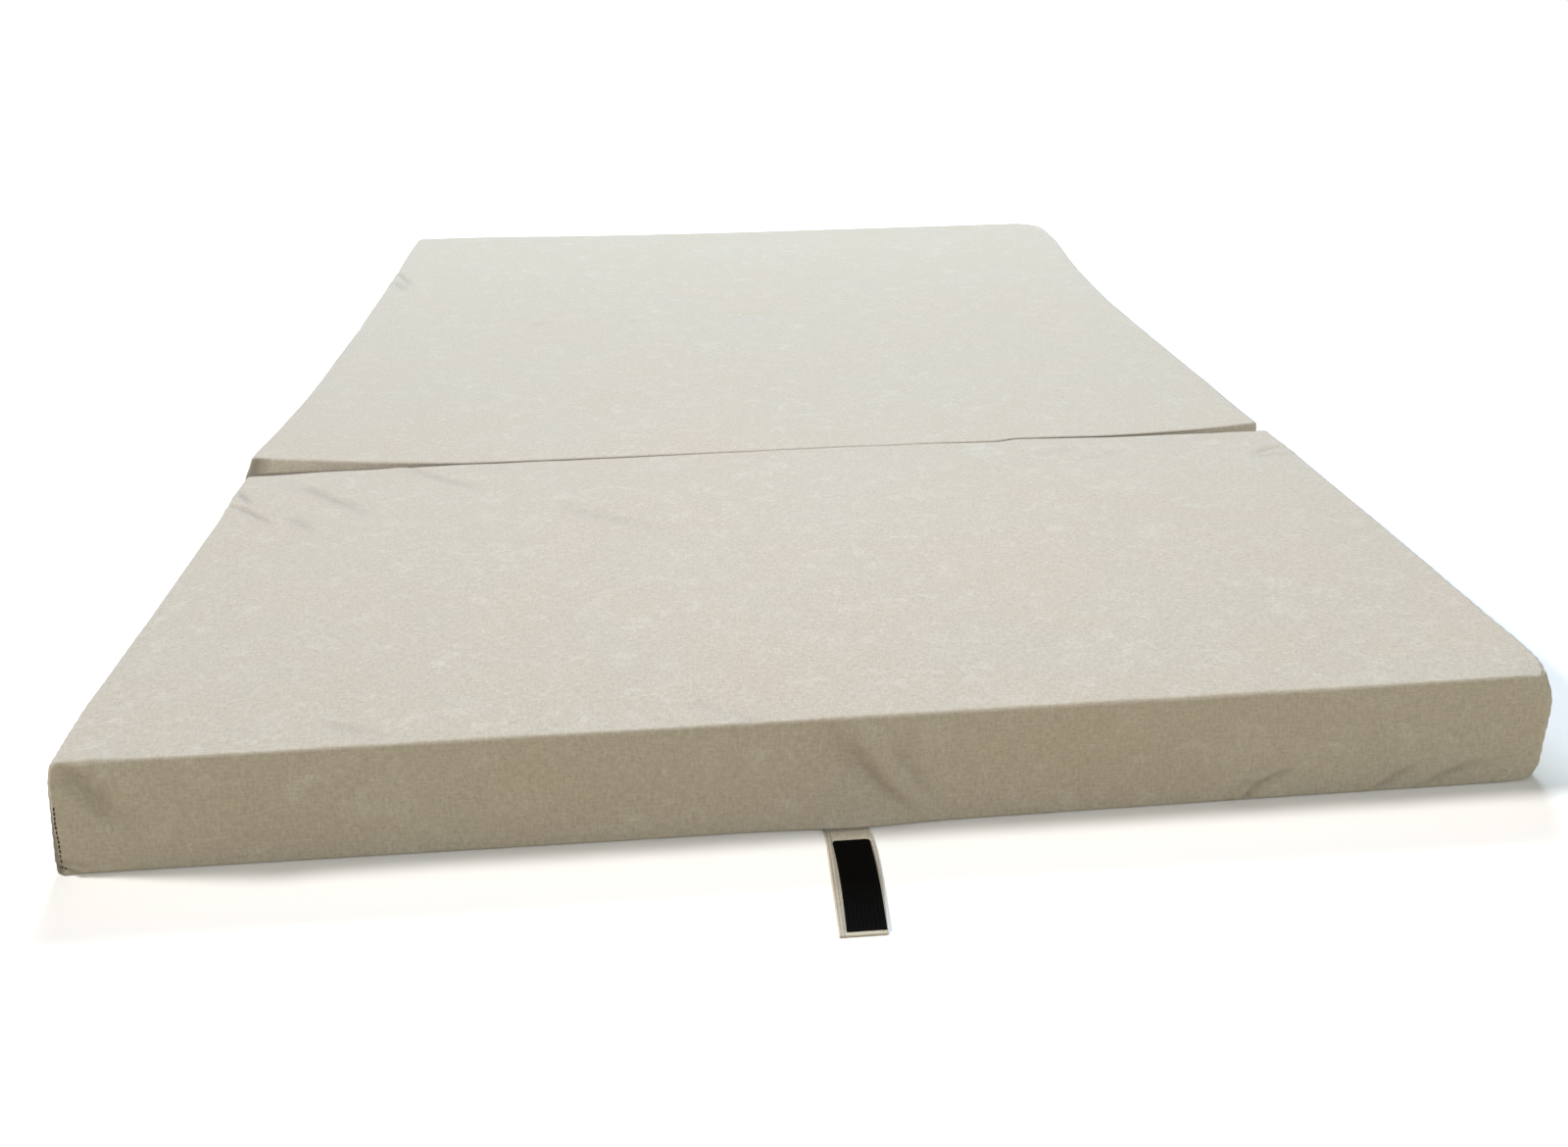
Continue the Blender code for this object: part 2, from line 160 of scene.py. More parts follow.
def cotton_drill(name, warm, plain, pale, sheen, mottle=1.0):
    """Brushed drill in two close tones and a pale one for painted highlights, with slubs both ways, a mottle
    and a raised nap.
    """
    material, add = new_material(name)
    flat = add("UVMap", uv_map="cloth")
    place = add("TexCoord", output="Object")
    slubs = []
    for across, along in ((SLUB_LENGTH, SLUB_WIDTH), (SLUB_WIDTH, SLUB_LENGTH)):
        stretched = add("Mapping", {"Vector": flat, "Scale": (1 / across, 1 / along, 1.0)})
        slubs.append(cloud(add, stretched, 1.0, 2.0, 0.55))
    weave = add("Math", {0: slubs[0], 1: slubs[1]}, operation="ADD")
    weave = add("Math", {0: cloud(add, place, GRAIN, 2.0, 0.6), 1: 0.7, 2: weave}, operation="MULTIPLY_ADD")
    broad = cloud(add, place, MOTTLE, 3.0, 0.55, 0.4)
    nap = cloud(add, place, NAP, 5.0, 0.62, 0.8)
    spread = TONE_SPREAD * mottle
    ground = mix(add, linear(warm), linear(plain), mapped(add, broad, 0.5 - spread, 0.5 + spread))
    # Painted highlight: small pale flecks where the raised nap would catch the light
    flecked = mix(add, ground, linear(pale), mapped(add, nap, 0.52, 0.72, 0.0, 0.55))
    colour = mix(add, flecked, mapped(add, weave, 1.00, 1.70, 0.86, 1.12), how="MULTIPLY")
    # Painted shade: the fold_shade attribute darkens the cloth in crease valleys, along the first fold,
    # beside the front corner seam and on the strap's hem lines and root
    fold = add("Attribute", output="Fac", attribute_name="fold_shade")
    colour = mix(add, colour, mapped(add, fold, 0.0, 1.0, 1.0, FOLD_DARK), how="MULTIPLY")
    relief = add("Math", {0: nap, 1: 0.35, 2: weave}, operation="MULTIPLY_ADD")
    bump = add("Bump", {"Height": relief, "Strength": 0.35, "Distance": 0.5 * MM})
    surface(add, Base_Color=colour, Normal=bump, Roughness=0.92, Specular_IOR_Level=0.25,
            Sheen_Weight=sheen, Sheen_Roughness=0.45, Sheen_Tint=linear("dceaff"))
    return material


COVER_CLOTH = cotton_drill("brushed cotton drill, cream", "ddd1c3", "dbd5c9", "ebe7dd", 0.60, 1.8)
STRAP_CLOTH = cotton_drill("cotton drill, strap, beige", "ebe4d6", "efe9dc", "f4f0e6", 0.15)
print("cloth materials", COVER_CLOTH.name, STRAP_CLOTH.name)

# %% [markdown]
# ## The covers' form
# A foam block's cover is a box with soft edges. The box starts as one cube. Its edges are cut into
# rows, close together by the seams and folds where the small creases are, and wider in the middle.
# Then every point is moved on to the soft form: corners are rounded seen from above, the top edge
# is rolled, the top is slightly crowned, and the walls lean as the solids of the frame do. A bevel
# could round a cube too, but here the corners differ, and the rows have to stay straight.

# %% Sizes of the soft form
HEIGHT = 0.100
HALF_WIDTH = 0.600
SECTION = 0.662667
FOLD_NEAR_Y = -0.334333
FOLD_FAR_Y = 0.334333
SIDE_EDGE, FRONT_EDGE, CRISP_EDGE, FOLD_EDGE, BASE_EDGE = 0.0045, 0.0035, 0.0025, 0.0022, 0.002
CORNER_TURN = 0.0050
# How high the top stands over its free edges, how much of that is below the plain box, and its reach
CROWNS = {"near": (0.0030, 0.0008), "middle": (0.0018, 0.0018), "far": (0.0018, 0.0018)}
CROWN_REACH = 0.200
WAIST_DEPTH = 0.009
LEAN_LEFT, LEAN_RIGHT, LEAN_FADE = (0.047, 0.245, 1.35), (0.025, 0.250, 2.5), 0.150
# The line of the closed part of the first fold wanders: where along it, and how far
WANDER = ((-0.600, 0.100, 0.145, 0.175, 0.250, 0.270, 0.292, 0.330, 0.400, 0.600),
          (0.0, 0.0, -0.0015, 0.0005, -0.0025, -0.0030, 0.0050, 0.0035, 0.0, 0.0))
ZIP_HEIGHT, ZIP_LENGTH, SLIT_HALF = 0.050, 0.520, 0.0091
# Each section: how round its four corners are, from the near-left one anticlockwise, its four top
# edges from the near one anticlockwise, and whether its near and far sides are free edges
FORMS = {
    "near": ((0.000, 0.006, 0.000, 0.000), (FRONT_EDGE, SIDE_EDGE, CRISP_EDGE, SIDE_EDGE), (True, True)),
    "middle": ((0.001, 0.001, 0.000, 0.000), (FRONT_EDGE, SIDE_EDGE, FOLD_EDGE, SIDE_EDGE), (True, False)),
    "far": ((0.000, 0.000, 0.050, 0.002), (FOLD_EDGE, SIDE_EDGE, FRONT_EDGE, SIDE_EDGE), (False, True)),
}

# %% Two small curves that shape most of what follows
def unit(value):
    """A value, cut off below 0 and above 1."""
    return np.clip(value, 0, 1)


def bell(off, width):
    """1 in the middle, and falling away smoothly over about that width on either side."""
    return np.exp(-(off / width) ** 2)


# %% Rows of the box
def row_places(stretches, needed=()):
    """Places of the rows along one side of the box: each stretch ends at a place and has its own step."""
    places = [0.0]
    for end, step in stretches:
        count = max(round((end - places[-1]) / step), 1)
        places += list(np.linspace(places[-1], end, count + 1)[1:])
    places = np.array(places)
    for place in needed:
        places[np.argmin(abs(places - place))] = place
    return places


def gridded_box(rows):
    """A cube whose sides are cut into rows; each point is then put at its rows' places."""
    bm = bmesh.new()
    bmesh.ops.create_cube(bm, size=1.0)
    for axis, places in enumerate(rows):
        along = [edge for edge in bm.edges if abs((edge.verts[0].co - edge.verts[1].co)[axis]) > 0.5]
        bmesh.ops.subdivide_edges(bm, edges=along, cuts=len(places) - 2, use_grid_fill=True)
    for vert in bm.verts:
        vert.co = [places[round((value + 0.5) * (len(places) - 1))] for value, places in zip(vert.co, rows)]
    return bm


# %% Soft form of a section
def waist(y):
    """How far the side walls are drawn in at y."""
    return WAIST_DEPTH * np.clip(1.0 - abs(y - FOLD_FAR_Y) / SECTION, 0.0, None)


def rolled(inset, height, edge):
    """Rolls a square edge into a quarter circle: new inset and height of points near it."""
    out, up = edge - inset, height - (HEIGHT - edge)
    near = (out > 0) & (up > 0)
    stretch = np.where(near, np.maximum(out, up) / np.maximum(np.hypot(out, up), 1e-9), 1.0)
    return np.where(near, edge - out * stretch, inset), np.where(near, HEIGHT - edge + up * stretch, height)


def fold_lean(x):
    """How far the middle section's near wall leans away from the first fold, at its top."""
    left = LEAN_LEFT[0] * unit(1 - (x + HALF_WIDTH) / LEAN_LEFT[1]) ** LEAN_LEFT[2]
    right = LEAN_RIGHT[0] * unit(1 - (HALF_WIDTH - x) / LEAN_RIGHT[1]) ** LEAN_RIGHT[2]
    return left + right


def soft_form(name, box, low, high):
    """Moves the points of a gridded box on to the section's soft form."""
    softness, edges, free = FORMS[name]
    x, y, z = box.T.copy()
    # Seen from above: which side is nearest, how far in from it, and which way is out
    sides = np.stack([y - low.y, high.x - x, high.y - y, x - low.x])
    nearest = sides.argmin(0)
    inset = sides.min(0)
    out_x = np.choose(nearest, [0.0, 1.0, 0.0, -1.0])
    out_y = np.choose(nearest, [-1.0, 0.0, 1.0, 0.0])
    edge = np.choose(nearest, edges)
    corners = ((low.x, low.y, 1, 1), (high.x, low.y, -1, 1), (high.x, high.y, -1, -1), (low.x, high.y, 1, -1))
    for number, (corner_x, corner_y, in_x, in_y) in enumerate(corners):
        before, after = edges[number - 1], edges[number]
        radius = CORNER_TURN + softness[number]
        off_x = (x - corner_x) * in_x - radius
        off_y = (y - corner_y) * in_y - radius
        here = (off_x < 0) & (off_y < 0)
        reach = np.maximum(-off_x, -off_y)
        length = np.maximum(np.hypot(off_x, off_y), 1e-9)
        turn = np.arctan2(-off_y, -off_x) / (math.pi / 2)
        share = turn if number % 2 == 0 else 1 - turn
        out_x = np.where(here, off_x / length * in_x, out_x)
        out_y = np.where(here, off_y / length * in_y, out_y)
        inset = np.where(here, radius - reach, inset)
        edge = np.where(here, before + (after - before) * share, edge)
        x = np.where(here, corner_x + in_x * (radius + off_x / length * reach), x)
        y = np.where(here, corner_y + in_y * (radius + off_y / length * reach), y)
    # Rolled top edge, and the small turn of the base edge
    new_inset, new_z = rolled(inset, z, edge)
    base_inset, base_z = rolled(inset, HEIGHT - z, np.full_like(z, BASE_EDGE))
    by_base = z < HEIGHT / 2
    new_inset = np.where(by_base, base_inset, new_inset)
    z = np.where(by_base, HEIGHT - base_z, new_z)
    x = x + out_x * (inset - new_inset)
    y = y + out_y * (inset - new_inset)
    # Crown of the top: lowest along the free edges
    reach = [x - low.x, high.x - x] + [y - low.y] * free[0] + [high.y - y] * free[1]
    rise = np.ones_like(x)
    for distance in reach:
        rise = rise * np.sin(unit(distance / CROWN_REACH) * math.pi / 2)
    crown, below = CROWNS[name]
    z = z + (crown * rise - below) * z / HEIGHT
    if name == "middle":
        # The near wall leans away from the fold at both ends, and stands against it in the middle
        into = np.clip(1 - np.clip(y - low.y, 0, None) / LEAN_FADE, 0, None)
        y = y + (fold_lean(x) + np.interp(x, *WANDER)) * into * z / HEIGHT
    if name == "near":
        y = y + np.interp(x, *WANDER) * unit(1 - (high.y - y) / 0.060) * z / HEIGHT
    x = x * (HALF_WIDTH - waist(y)) / HALF_WIDTH
    return np.stack([x, y, z], 1)


# %% The plain box of a section, and the frame's boxes printed
def cover_box(name):
    """The plain box of a section: from the frame, before the walls are drawn in."""
    low, high = (corner.copy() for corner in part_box(f"{name}_cover"))
    low.x, high.x, low.z, high.z = -HALF_WIDTH, HALF_WIDTH, 0.0, HEIGHT
    if name == "near":
        low.y, high.y = -1.0, -1.0 + SECTION
    return low, high


for section in FORMS:
    print(section, "box", [tuple(round(v, 4) for v in corner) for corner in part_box(f"{section}_cover")])

# %% [markdown]
# ## Creases, seams and the lie of the cloth
# A tight cover has few creases, and each has a cause: pull lines fan out from a corner where the
# foam fills the cover unevenly, and from the root of the strap. A crease is a valley with a ridge
# along one side. It follows a route on the flat cloth, so it can run over an edge. The side walls
# are sewn in: along their seams the cloth dips and puckers. The rest of the cloth is never flat to
# the millimetre, which slow noise gives.

# %% Routes of the creases, in millimetres on the flat cloth of each section
# Each: the route, the valley's half width, its depth, the ridge on its left (or, below zero, on its
# right), and how it starts and ends, where 1 is at full depth
CREASES = {
    "near": [
        (((-596, -392), (-588, -412), (-571, -446)), 4, 2, -1, (0.1, 0.0)),
        (((-604, -438), (-590, -447), (-575, -461), (-544, -501), (-531, -516)), 4.2, 2.4, -1.2, (0.1, 0.0)),
        (((-546, -364), (-535, -384), (-498, -430), (-462, -470), (-430, -508)), 8.5, 1.2, -0.8, (0.0, 0.0)),
        (((-532, -484), (-521, -497), (-481, -547)), 7, 0.9, -0.6, (0.0, 0.0)),
        (((-420, -342), (-405, -362), (-374, -390), (-346, -419), (-320, -435)), 7.5, 0.9, -0.6, (0.6, 0.0)),
        (((-255, -480), (-242, -490), (-209, -524), (-172, -550), (-115, -590)), 11, 0.6, -0.5, (0.0, 0.0)),
        (((-112, -956), (-104, -962), (-90, -971), (-71, -986), (-60, -996)), 7.5, 0.6, -0.4, (0.0, 0.8)),
        (((-402, -958), (-390, -965), (-360, -981), (-350, -990)), 7, 0.6, -0.4, (0.0, 0.6)),
        (((285, -410), (299, -401), (337, -385), (380, -377)), 6, 0.4, 0.5, (0.0, 0.0)),
        (((332, -432), (345, -425), (384, -406), (431, -384)), 7, 0.4, 0.5, (0.0, 0.0)),
        (((535, -446), (549, -439), (572, -434), (598, -430)), 4.2, 0.6, 0.6, (0.0, 0.5)),
        (((535, -440), (544, -434), (575, -410), (600, -403)), 4.2, 0.8, 0.8, (0.0, 0.4)),
        # Near wall, where the flat cloth runs on below the top edge
        (((-12, -1001), (-7, -1004), (14, -1035), (36, -1068), (68, -1092)), 10, 0.7, 0.6, (0.0, 0.2)),
        (((6, -1012), (28, -1044), (44, -1069), (60, -1084)), 8, 0.7, 0.6, (0.0, 0.3)),
        (((20, -1045), (28, -1053), (48, -1071), (68, -1088)), 5.8, 0.9, 0.8, (0.0, 0.4)),
        (((45, -1025), (56, -1037), (76, -1066), (92, -1086)), 8.5, 0.7, 0.7, (0.0, 0.2)),
        (((346, -1099), (349, -1096), (356, -1086), (372, -1078), (392, -1071)), 3.6, 1.8, 2, (0.8, 0.0)),
        (((460, -1099), (463, -1096), (478, -1085), (500, -1074)), 4, 1.4, 1.8, (0.8, 0.0)),
        (((498, -1099), (502, -1098), (517, -1088), (538, -1080), (560, -1076)), 4.2, 1.3, 1.7, (0.8, 0.0)),
        (((-597, -1003), (-590, -1006), (-577, -1024), (-566, -1048)), 11, 1.3, 1.4, (0.0, 0.0)),
        (((-585, -1004), (-578, -1011), (-560, -1047), (-536, -1063)), 12.5, 1.1, 1.3, (0.0, 0.0)),
        (((-600, -1092), (-596, -1093), (-584, -1098)), 2.6, 2.2, 2, (0.4, 0.2)),
        (((-598, -1085), (-588, -1089), (-572, -1094)), 2.6, 1.4, 1.4, (0.4, 0.0)),
    ],
    "middle": [
        (((-330, 300), (-327, 309), (-312, 322), (-294, 326)), 5, 0.7, 0.5, (0.0, 0.0)),
        (((-190, 296), (-185, 305), (-152, 325), (-124, 330)), 5, 0.5, 0.4, (0.0, 0.0)),
    ],
    "far": [
        (((-603, 732), (-598, 720), (-576, 665), (-553, 606)), 5, 3.2, -1.2, (0.1, 0.0)),
        (((-598, 660), (-575, 610), (-560, 560)), 7, 1.2, -1, (0.0, 0.0)),
    ],
}


# %% Creases, seams and slow unevenness
CREASE_GAIN = 1.5
DARKEST_DEPTH = 0.002
SEAM_WIDTH, SEAM_DEPTH, PUCKER, PUCKER_PITCH, PUCKER_REACH = 0.0011, 0.0009, 0.00035, 0.011, 0.009


def crease(points, route, width, depth, ridge, ends):
    """How far each point of the flat cloth sinks or rises beside one crease, and how much shade is painted in
    its valley.
    """
    nearest = np.full(len(points), 9.0)
    side, share = np.zeros(len(points)), np.zeros(len(points))
    width, depth, ridge = width * MM, depth * MM, ridge * MM
    spots = [np.array(spot) * MM for spot in route]
    lengths = [np.hypot(*(b - a)) for a, b in zip(spots, spots[1:])]
    passed = 0.0
    for a, b, length in zip(spots, spots[1:], lengths):
        way = (b - a) / length
        run = np.clip((points - a) @ way, 0.0, length)
        off = points - a - run[:, None] * way
        distance = np.hypot(off[:, 0], off[:, 1])
        closer = distance < nearest
        nearest = np.where(closer, distance, nearest)
        side = np.where(closer, np.sign(way[0] * off[:, 1] - way[1] * off[:, 0]), side)
        share = np.where(closer, (passed + run) / sum(lengths), share)
        passed += length
    start, end = ends
    fade = np.minimum(start + (1 - start) * unit(share / 0.3), end + (1 - end) * unit((1 - share) / 0.45))
    across = nearest * side / width
    valley = bell(across, 1.0)
    raised = abs(ridge) * bell(across - math.copysign(1.7, ridge), 1.3)
    return fade * (raised - depth * valley), 0.5 * fade * valley * min(depth / DARKEST_DEPTH, 1.0)


def slow_noise(points, size, seed):
    """Smooth noise of about that size between its swells, one value a point."""
    shift = Vector((seed * 7.1, seed * 3.7, seed * 1.3))
    return np.array([noise.noise(Vector(point) / size + shift) for point in points])


def seam(across, along, seed):
    """A sewn line: a narrow dip, and small puckers that fade away from it."""
    wander = 1.5 * np.sin(along / 0.037 + seed)
    puckers = PUCKER * np.sin(2 * math.pi * along / PUCKER_PITCH + wander)
    return puckers * np.exp(-abs(across) / PUCKER_REACH) - SEAM_DEPTH * bell(across, SEAM_WIDTH)


# How far in from its edge a seam runs, along the top and down a corner
TOP_SEAM_IN, CORNER_SEAM_IN = 0.0015, 0.003
# The corner seam at the front left slants: how far in it stands at the floor, and up to what height
SLANT, SLANT_HEIGHT = 0.0072, 0.078
# The near section hides the leaning wall of the middle one from the camera, and its shade is painted on
# that wall as a dark line: the line's height where the wall is upright, how it sinks with the lean, and its
# width
GAP_LINE_HEIGHT, GAP_LINE_SINK, GAP_LINE_BELOW, GAP_LINE_WIDE = 0.098, 3.41, 0.0018, 0.0014
SEED = 3
# The cloth's slow unevenness: how high it is, how wide its swells are, and what is added to the seed
UNEVEN = ((0.0011, 0.170, 0), (0.0006, 0.060, 5))
# The two tops that close on each other: how much of their relief they keep, and how high it may rise
CLOSING_SHARE, CLOSING_RISE = 0.6, 0.0006


def side_seams(name, box, low, high):
    """The seams of the two side walls, along the top edge and down the corners, and their shade."""
    x, y, z = box.T
    drop = HEIGHT - z
    on_top = z > HEIGHT - 1e-6
    at_near, at_far = y < low.y + 1e-6, y > high.y - 1e-6
    lift, shade = np.zeros(len(box)), np.zeros(len(box))
    for mark, from_edge in ((-1, x - low.x), (1, high.x - x)):
        at_side = from_edge < 1e-6
        across = np.where(on_top, from_edge - TOP_SEAM_IN, -drop - TOP_SEAM_IN)
        lift += np.where(on_top | at_side, seam(across, y, SEED + mark), 0.0)
        shown = name == "near" and mark < 0
        corner = SLANT * unit(1 - z / SLANT_HEIGHT) - 0.001 if shown else -CORNER_SEAM_IN
        across = np.where(at_near, from_edge - corner, low.y - y - corner)
        lift += np.where((at_near | at_side) & ~on_top, seam(across, z, SEED) * unit(drop / 0.03), 0.0)
        if shown:
            # The narrow strip of side wall that shows beyond the corner seam is in shade
            beyond = 0.9 * unit(-across / 0.0012) * unit(2 - 2 * z / 0.085)
            shade = np.where((at_near | at_side) & (y < low.y + 0.004) & ~on_top, beyond, 0.0)
        across = np.where(at_far, from_edge + CORNER_SEAM_IN, y - high.y + CORNER_SEAM_IN)
        lift += np.where((at_far | at_side) & ~on_top, seam(across, z, SEED), 0.0)
    return lift, shade


def fold_shade(name, box, low, high):
    """The shade along the first fold, where the edges of two sections meet."""
    x, y, z = box.T
    drop = HEIGHT - z
    if name == "middle":
        lean = fold_lean(x)
        at_near = y < low.y + 1e-6
        closed_line = unit(1 - lean / 0.014) * unit(1.4 - abs(drop - 0.0026) / 0.0020)
        below = drop - (HEIGHT - GAP_LINE_HEIGHT / (1 + GAP_LINE_SINK * lean)) - GAP_LINE_BELOW
        open_line = 0.8 * unit(below / GAP_LINE_WIDE) * (lean > 0.004)
        # Painted shade at the pinched left end of the first fold
        pinch = 0.8 * unit(1.4 - (x - low.x) / 0.020) * unit((z - 0.03) / 0.03)
        return at_near * np.maximum(np.maximum(closed_line, open_line), pinch)
    if name == "near":
        on_top, at_far = z > HEIGHT - 1e-6, y > high.y - 1e-6
        top_line = np.where(on_top, unit(1.6 - (high.y - y) / 0.0030), 0.0)
        return np.where(on_top | (at_far & (drop < 0.003)), 0.5 * np.maximum(top_line, at_far), 0.0)
    return np.zeros(len(box))


def lie_of_cloth(name, box, low, high):
    """How far each point stands out of the soft form, and how deep it is in the shade of a fold."""
    x, y, z = box.T
    drop = HEIGHT - z
    at_near, at_far = y < low.y + 1e-6, y > high.y - 1e-6
    at_side = (x > high.x - 1e-6) * 1.0 - (x < low.x + 1e-6)
    # The flat cloth that runs over the top and down the walls
    flat = np.stack([x + at_side * ~at_near * drop, y - at_near * drop + at_far * drop], 1)
    lift, shade = np.zeros(len(box)), np.zeros(len(box))
    for route, width, depth, ridge, ends in CREASES[name]:
        raised, shaded = crease(flat, route, width, depth, ridge, ends)
        lift += raised
        shade = np.maximum(shade, shaded)
    lift *= CREASE_GAIN
    lift += sum(rise * slow_noise(box, size, SEED + more) for rise, size, more in UNEVEN)
    if name != "near":
        # These two tops close on each other, so their cloth stays below the plain box
        below = np.minimum(lift * CLOSING_SHARE, CLOSING_RISE) - CLOSING_RISE
        lift = np.where(z > HEIGHT - 1e-6, below, lift)
    seam_lift, seam_shade = side_seams(name, box, low, high)
    lift = lift * unit(z / 0.004) + seam_lift
    shade = np.maximum(np.maximum(shade, seam_shade), fold_shade(name, box, low, high))
    by_base = unit(z / 0.003)
    return lift * by_base, shade * by_base


# How far the near wall's base bulges, how much further over the strap's root, up to what height,
# and how far the cloth is lifted off the floor there
BASE_BULGE, ROOT_BULGE, BULGE_HEIGHT, ROOT_LIFT = 0.0035, 0.0045, 0.045, 0.0008


def base_bulge(points):
    """The near wall's base stands a little forward, and rides up over the strap's root."""
    low_part = unit(1 - points[:, 2] / BULGE_HEIGHT)
    wide = bell(points[:, 0] + 0.05, 0.38)
    at_strap = bell(points[:, 0] - 0.024, 0.050)
    front = unit(1 - (points[:, 1] + 1.0) / 0.030)
    points = points.copy()
    points[:, 1] -= (BASE_BULGE * wide + ROOT_BULGE * at_strap) * low_part * front
    points[:, 2] += ROOT_LIFT * at_strap * unit(1 - points[:, 2] / 0.020) * front
    return points


# Small pulls of the whole form, in millimetres: where, how far round it, and which way
PULLS = {
    "near": [((-600, -1000, 104), (30, 60, 16), (5, 0, 0)),
             ((-600, -345, 100), (50, 100, 50), (-6, -3, -1)),
             ((-600, -1000, 0), (90, 250, 60), (-8, 0, 0)),
             ((-600, -337, 100), (260, 60, 60), (0, 0, -2)),
             ((600, -337, 100), (260, 60, 60), (0, 0, -2)),
             ((600, -900, 100), (150, 400, 70), (6.2, 0, 2)),
             ((600, -1000, 0), (80, 200, 55), (6, 0, 0)),
             ((600, -1000, 66), (50, 120, 32), (4, 0, 0)),
             ((602, -1002, 104), (22, 22, 18), (-7, 4, -3)),
             ((606, -1004, 0), (16, 16, 9), (-4.8, 1.6, 2.4))],
    "middle": [((-600, -290, 100), (200, 170, 80), (-10, 0, 3)),
               ((-600, -300, 70), (50, 80, 22), (-14, 0, 0))],
    "far": [((-600, 1000, 100), (350, 300, 70), (0, 12, 4.8)),
            ((600, 880, 100), (160, 240, 60), (18, 0, 0))],
}
SKEW = 0.0065


def pulled(name, points):
    """The form with its pulls, and the tops by the second fold drawn to the left."""
    upper = unit((points[:, 2] - 0.062) / 0.038)
    points = points.copy()
    if name != "near":
        points[:, 0] -= SKEW * upper * unit(waist(points[:, 1]) / WAIST_DEPTH) ** 0.6
    for place, reach, way in PULLS[name]:
        off = (points - np.array(place) * MM) / (np.array(reach) * MM)
        points = points + np.exp(-(off ** 2).sum(1))[:, None] * np.array(way) * MM
    return points


# %% [markdown]
# ## The three covers
# Each cover is one piece: a padded form that stands for the plain solids of its cover and foam. Its
# left wall has a slit for the zip, with the cloth turned in along the slit.

# %% Make a cover
WIDE, DEEP = 2 * HALF_WIDTH, SECTION
RIM, FINE = 0.015, 0.0014
# Rows across, from the left: fine where the small creases are
ROWS_ACROSS = {
    "near": ((RIM, FINE), (0.42, 0.0037), (0.58, 0.0062), (0.70, 0.0035), (0.93, 0.0068),
             (WIDE - RIM, 0.0034), (WIDE, FINE)),
    "middle": ((RIM, FINE), (0.30, 0.0042), (0.92, 0.0065), (WIDE - RIM, 0.0042), (WIDE, FINE)),
    "far": ((RIM, FINE), (0.14, 0.0038), (1.06, 0.0062), (WIDE - RIM, 0.0038), (WIDE, FINE)),
}
# Rows along, from the near edge
ROWS_ALONG = {
    "near": ((RIM, FINE), (0.06, 0.0030), (0.38, 0.0068), (DEEP - RIM, 0.0035), (DEEP, FINE)),
    "middle": ((RIM, FINE), (0.10, 0.0034), (DEEP - RIM, 0.0056), (DEEP, FINE)),
    "far": ((RIM, FINE), (0.12, 0.0040), (0.55, 0.0056), (DEEP - RIM, 0.0042), (DEEP, FINE)),
}
ROWS_UP = ((0.010, FINE), (HEIGHT - 0.018, 0.0031), (HEIGHT, FINE))
TURN_IN = 0.0016
SIDE_STRIP_Y = 3.0
COVER_SURFACES = {}


def points_of(made):
    """The points among what a mesh operation made."""
    return [part for part in made if isinstance(part, bmesh.types.BMVert)]


def cut_slit(bm, low, high):
    """Opens the zip's slit in the left wall and turns the cloth in along it."""
    centre = (low.y + high.y) / 2
    inside = []
    for face in bm.faces:
        spot = face.calc_center_median()
        by_zip = abs(spot.y - centre) < ZIP_LENGTH / 2 and abs(spot.z - ZIP_HEIGHT) < SLIT_HALF
        if by_zip and spot.x < low.x + 1e-6:
            inside.append(face)
    bmesh.ops.delete(bm, geom=inside, context="FACES")
    rim = [edge for edge in bm.edges if edge.is_boundary]
    turned = bmesh.ops.extrude_edge_only(bm, edges=rim)["geom"]
    bmesh.ops.translate(bm, vec=(TURN_IN, 0, 0), verts=points_of(turned))


def read_values(items, field, width):
    """A field of a mesh's points, corners or faces as an array, with a row for each."""
    values = np.zeros(len(items) * width, int if width == 1 else float)
    items.foreach_get(field, values)
    return values if width == 1 else values.reshape(-1, width)


def lay_cloth_pattern(mesh, box, low, high):
    """The flat pattern: top, near and far walls in one cloth, and the side walls as strips of their own."""
    faces = mesh.polygons
    normal = np.repeat(read_values(faces, "normal", 3), read_values(faces, "loop_total", 1), 0)
    x, y, z = box[read_values(mesh.loops, "vertex_index", 1)].T
    drop = HEIGHT - z
    flat = np.stack([x, y], 1)
    near_wall, far_wall, side_wall = normal[:, 1] < -0.5, normal[:, 1] > 0.5, abs(normal[:, 0]) > 0.5
    flat[near_wall, 1] = (low.y - drop)[near_wall]
    flat[far_wall, 1] = (high.y + drop)[far_wall]
    flat[side_wall] = np.stack([y + SIDE_STRIP_Y, z + np.sign(x)], 1)[side_wall]
    layer = mesh.uv_layers.new(name="cloth")
    layer.data.foreach_set("uv", flat.astype(np.float32).ravel())


def write_shade(mesh, shade):
    """Stores how much painted shade each point gets, in folds, seams and gaps, for the fabric to read."""
    layer = mesh.attributes.new("fold_shade", "FLOAT", "POINT")
    layer.data.foreach_set("value", shade.astype(np.float32))


def put(name, data):
    """An object of that data, in the scene."""
    thing = bpy.data.objects.new(name, data)
    bpy.context.scene.collection.objects.link(thing)
    return thing


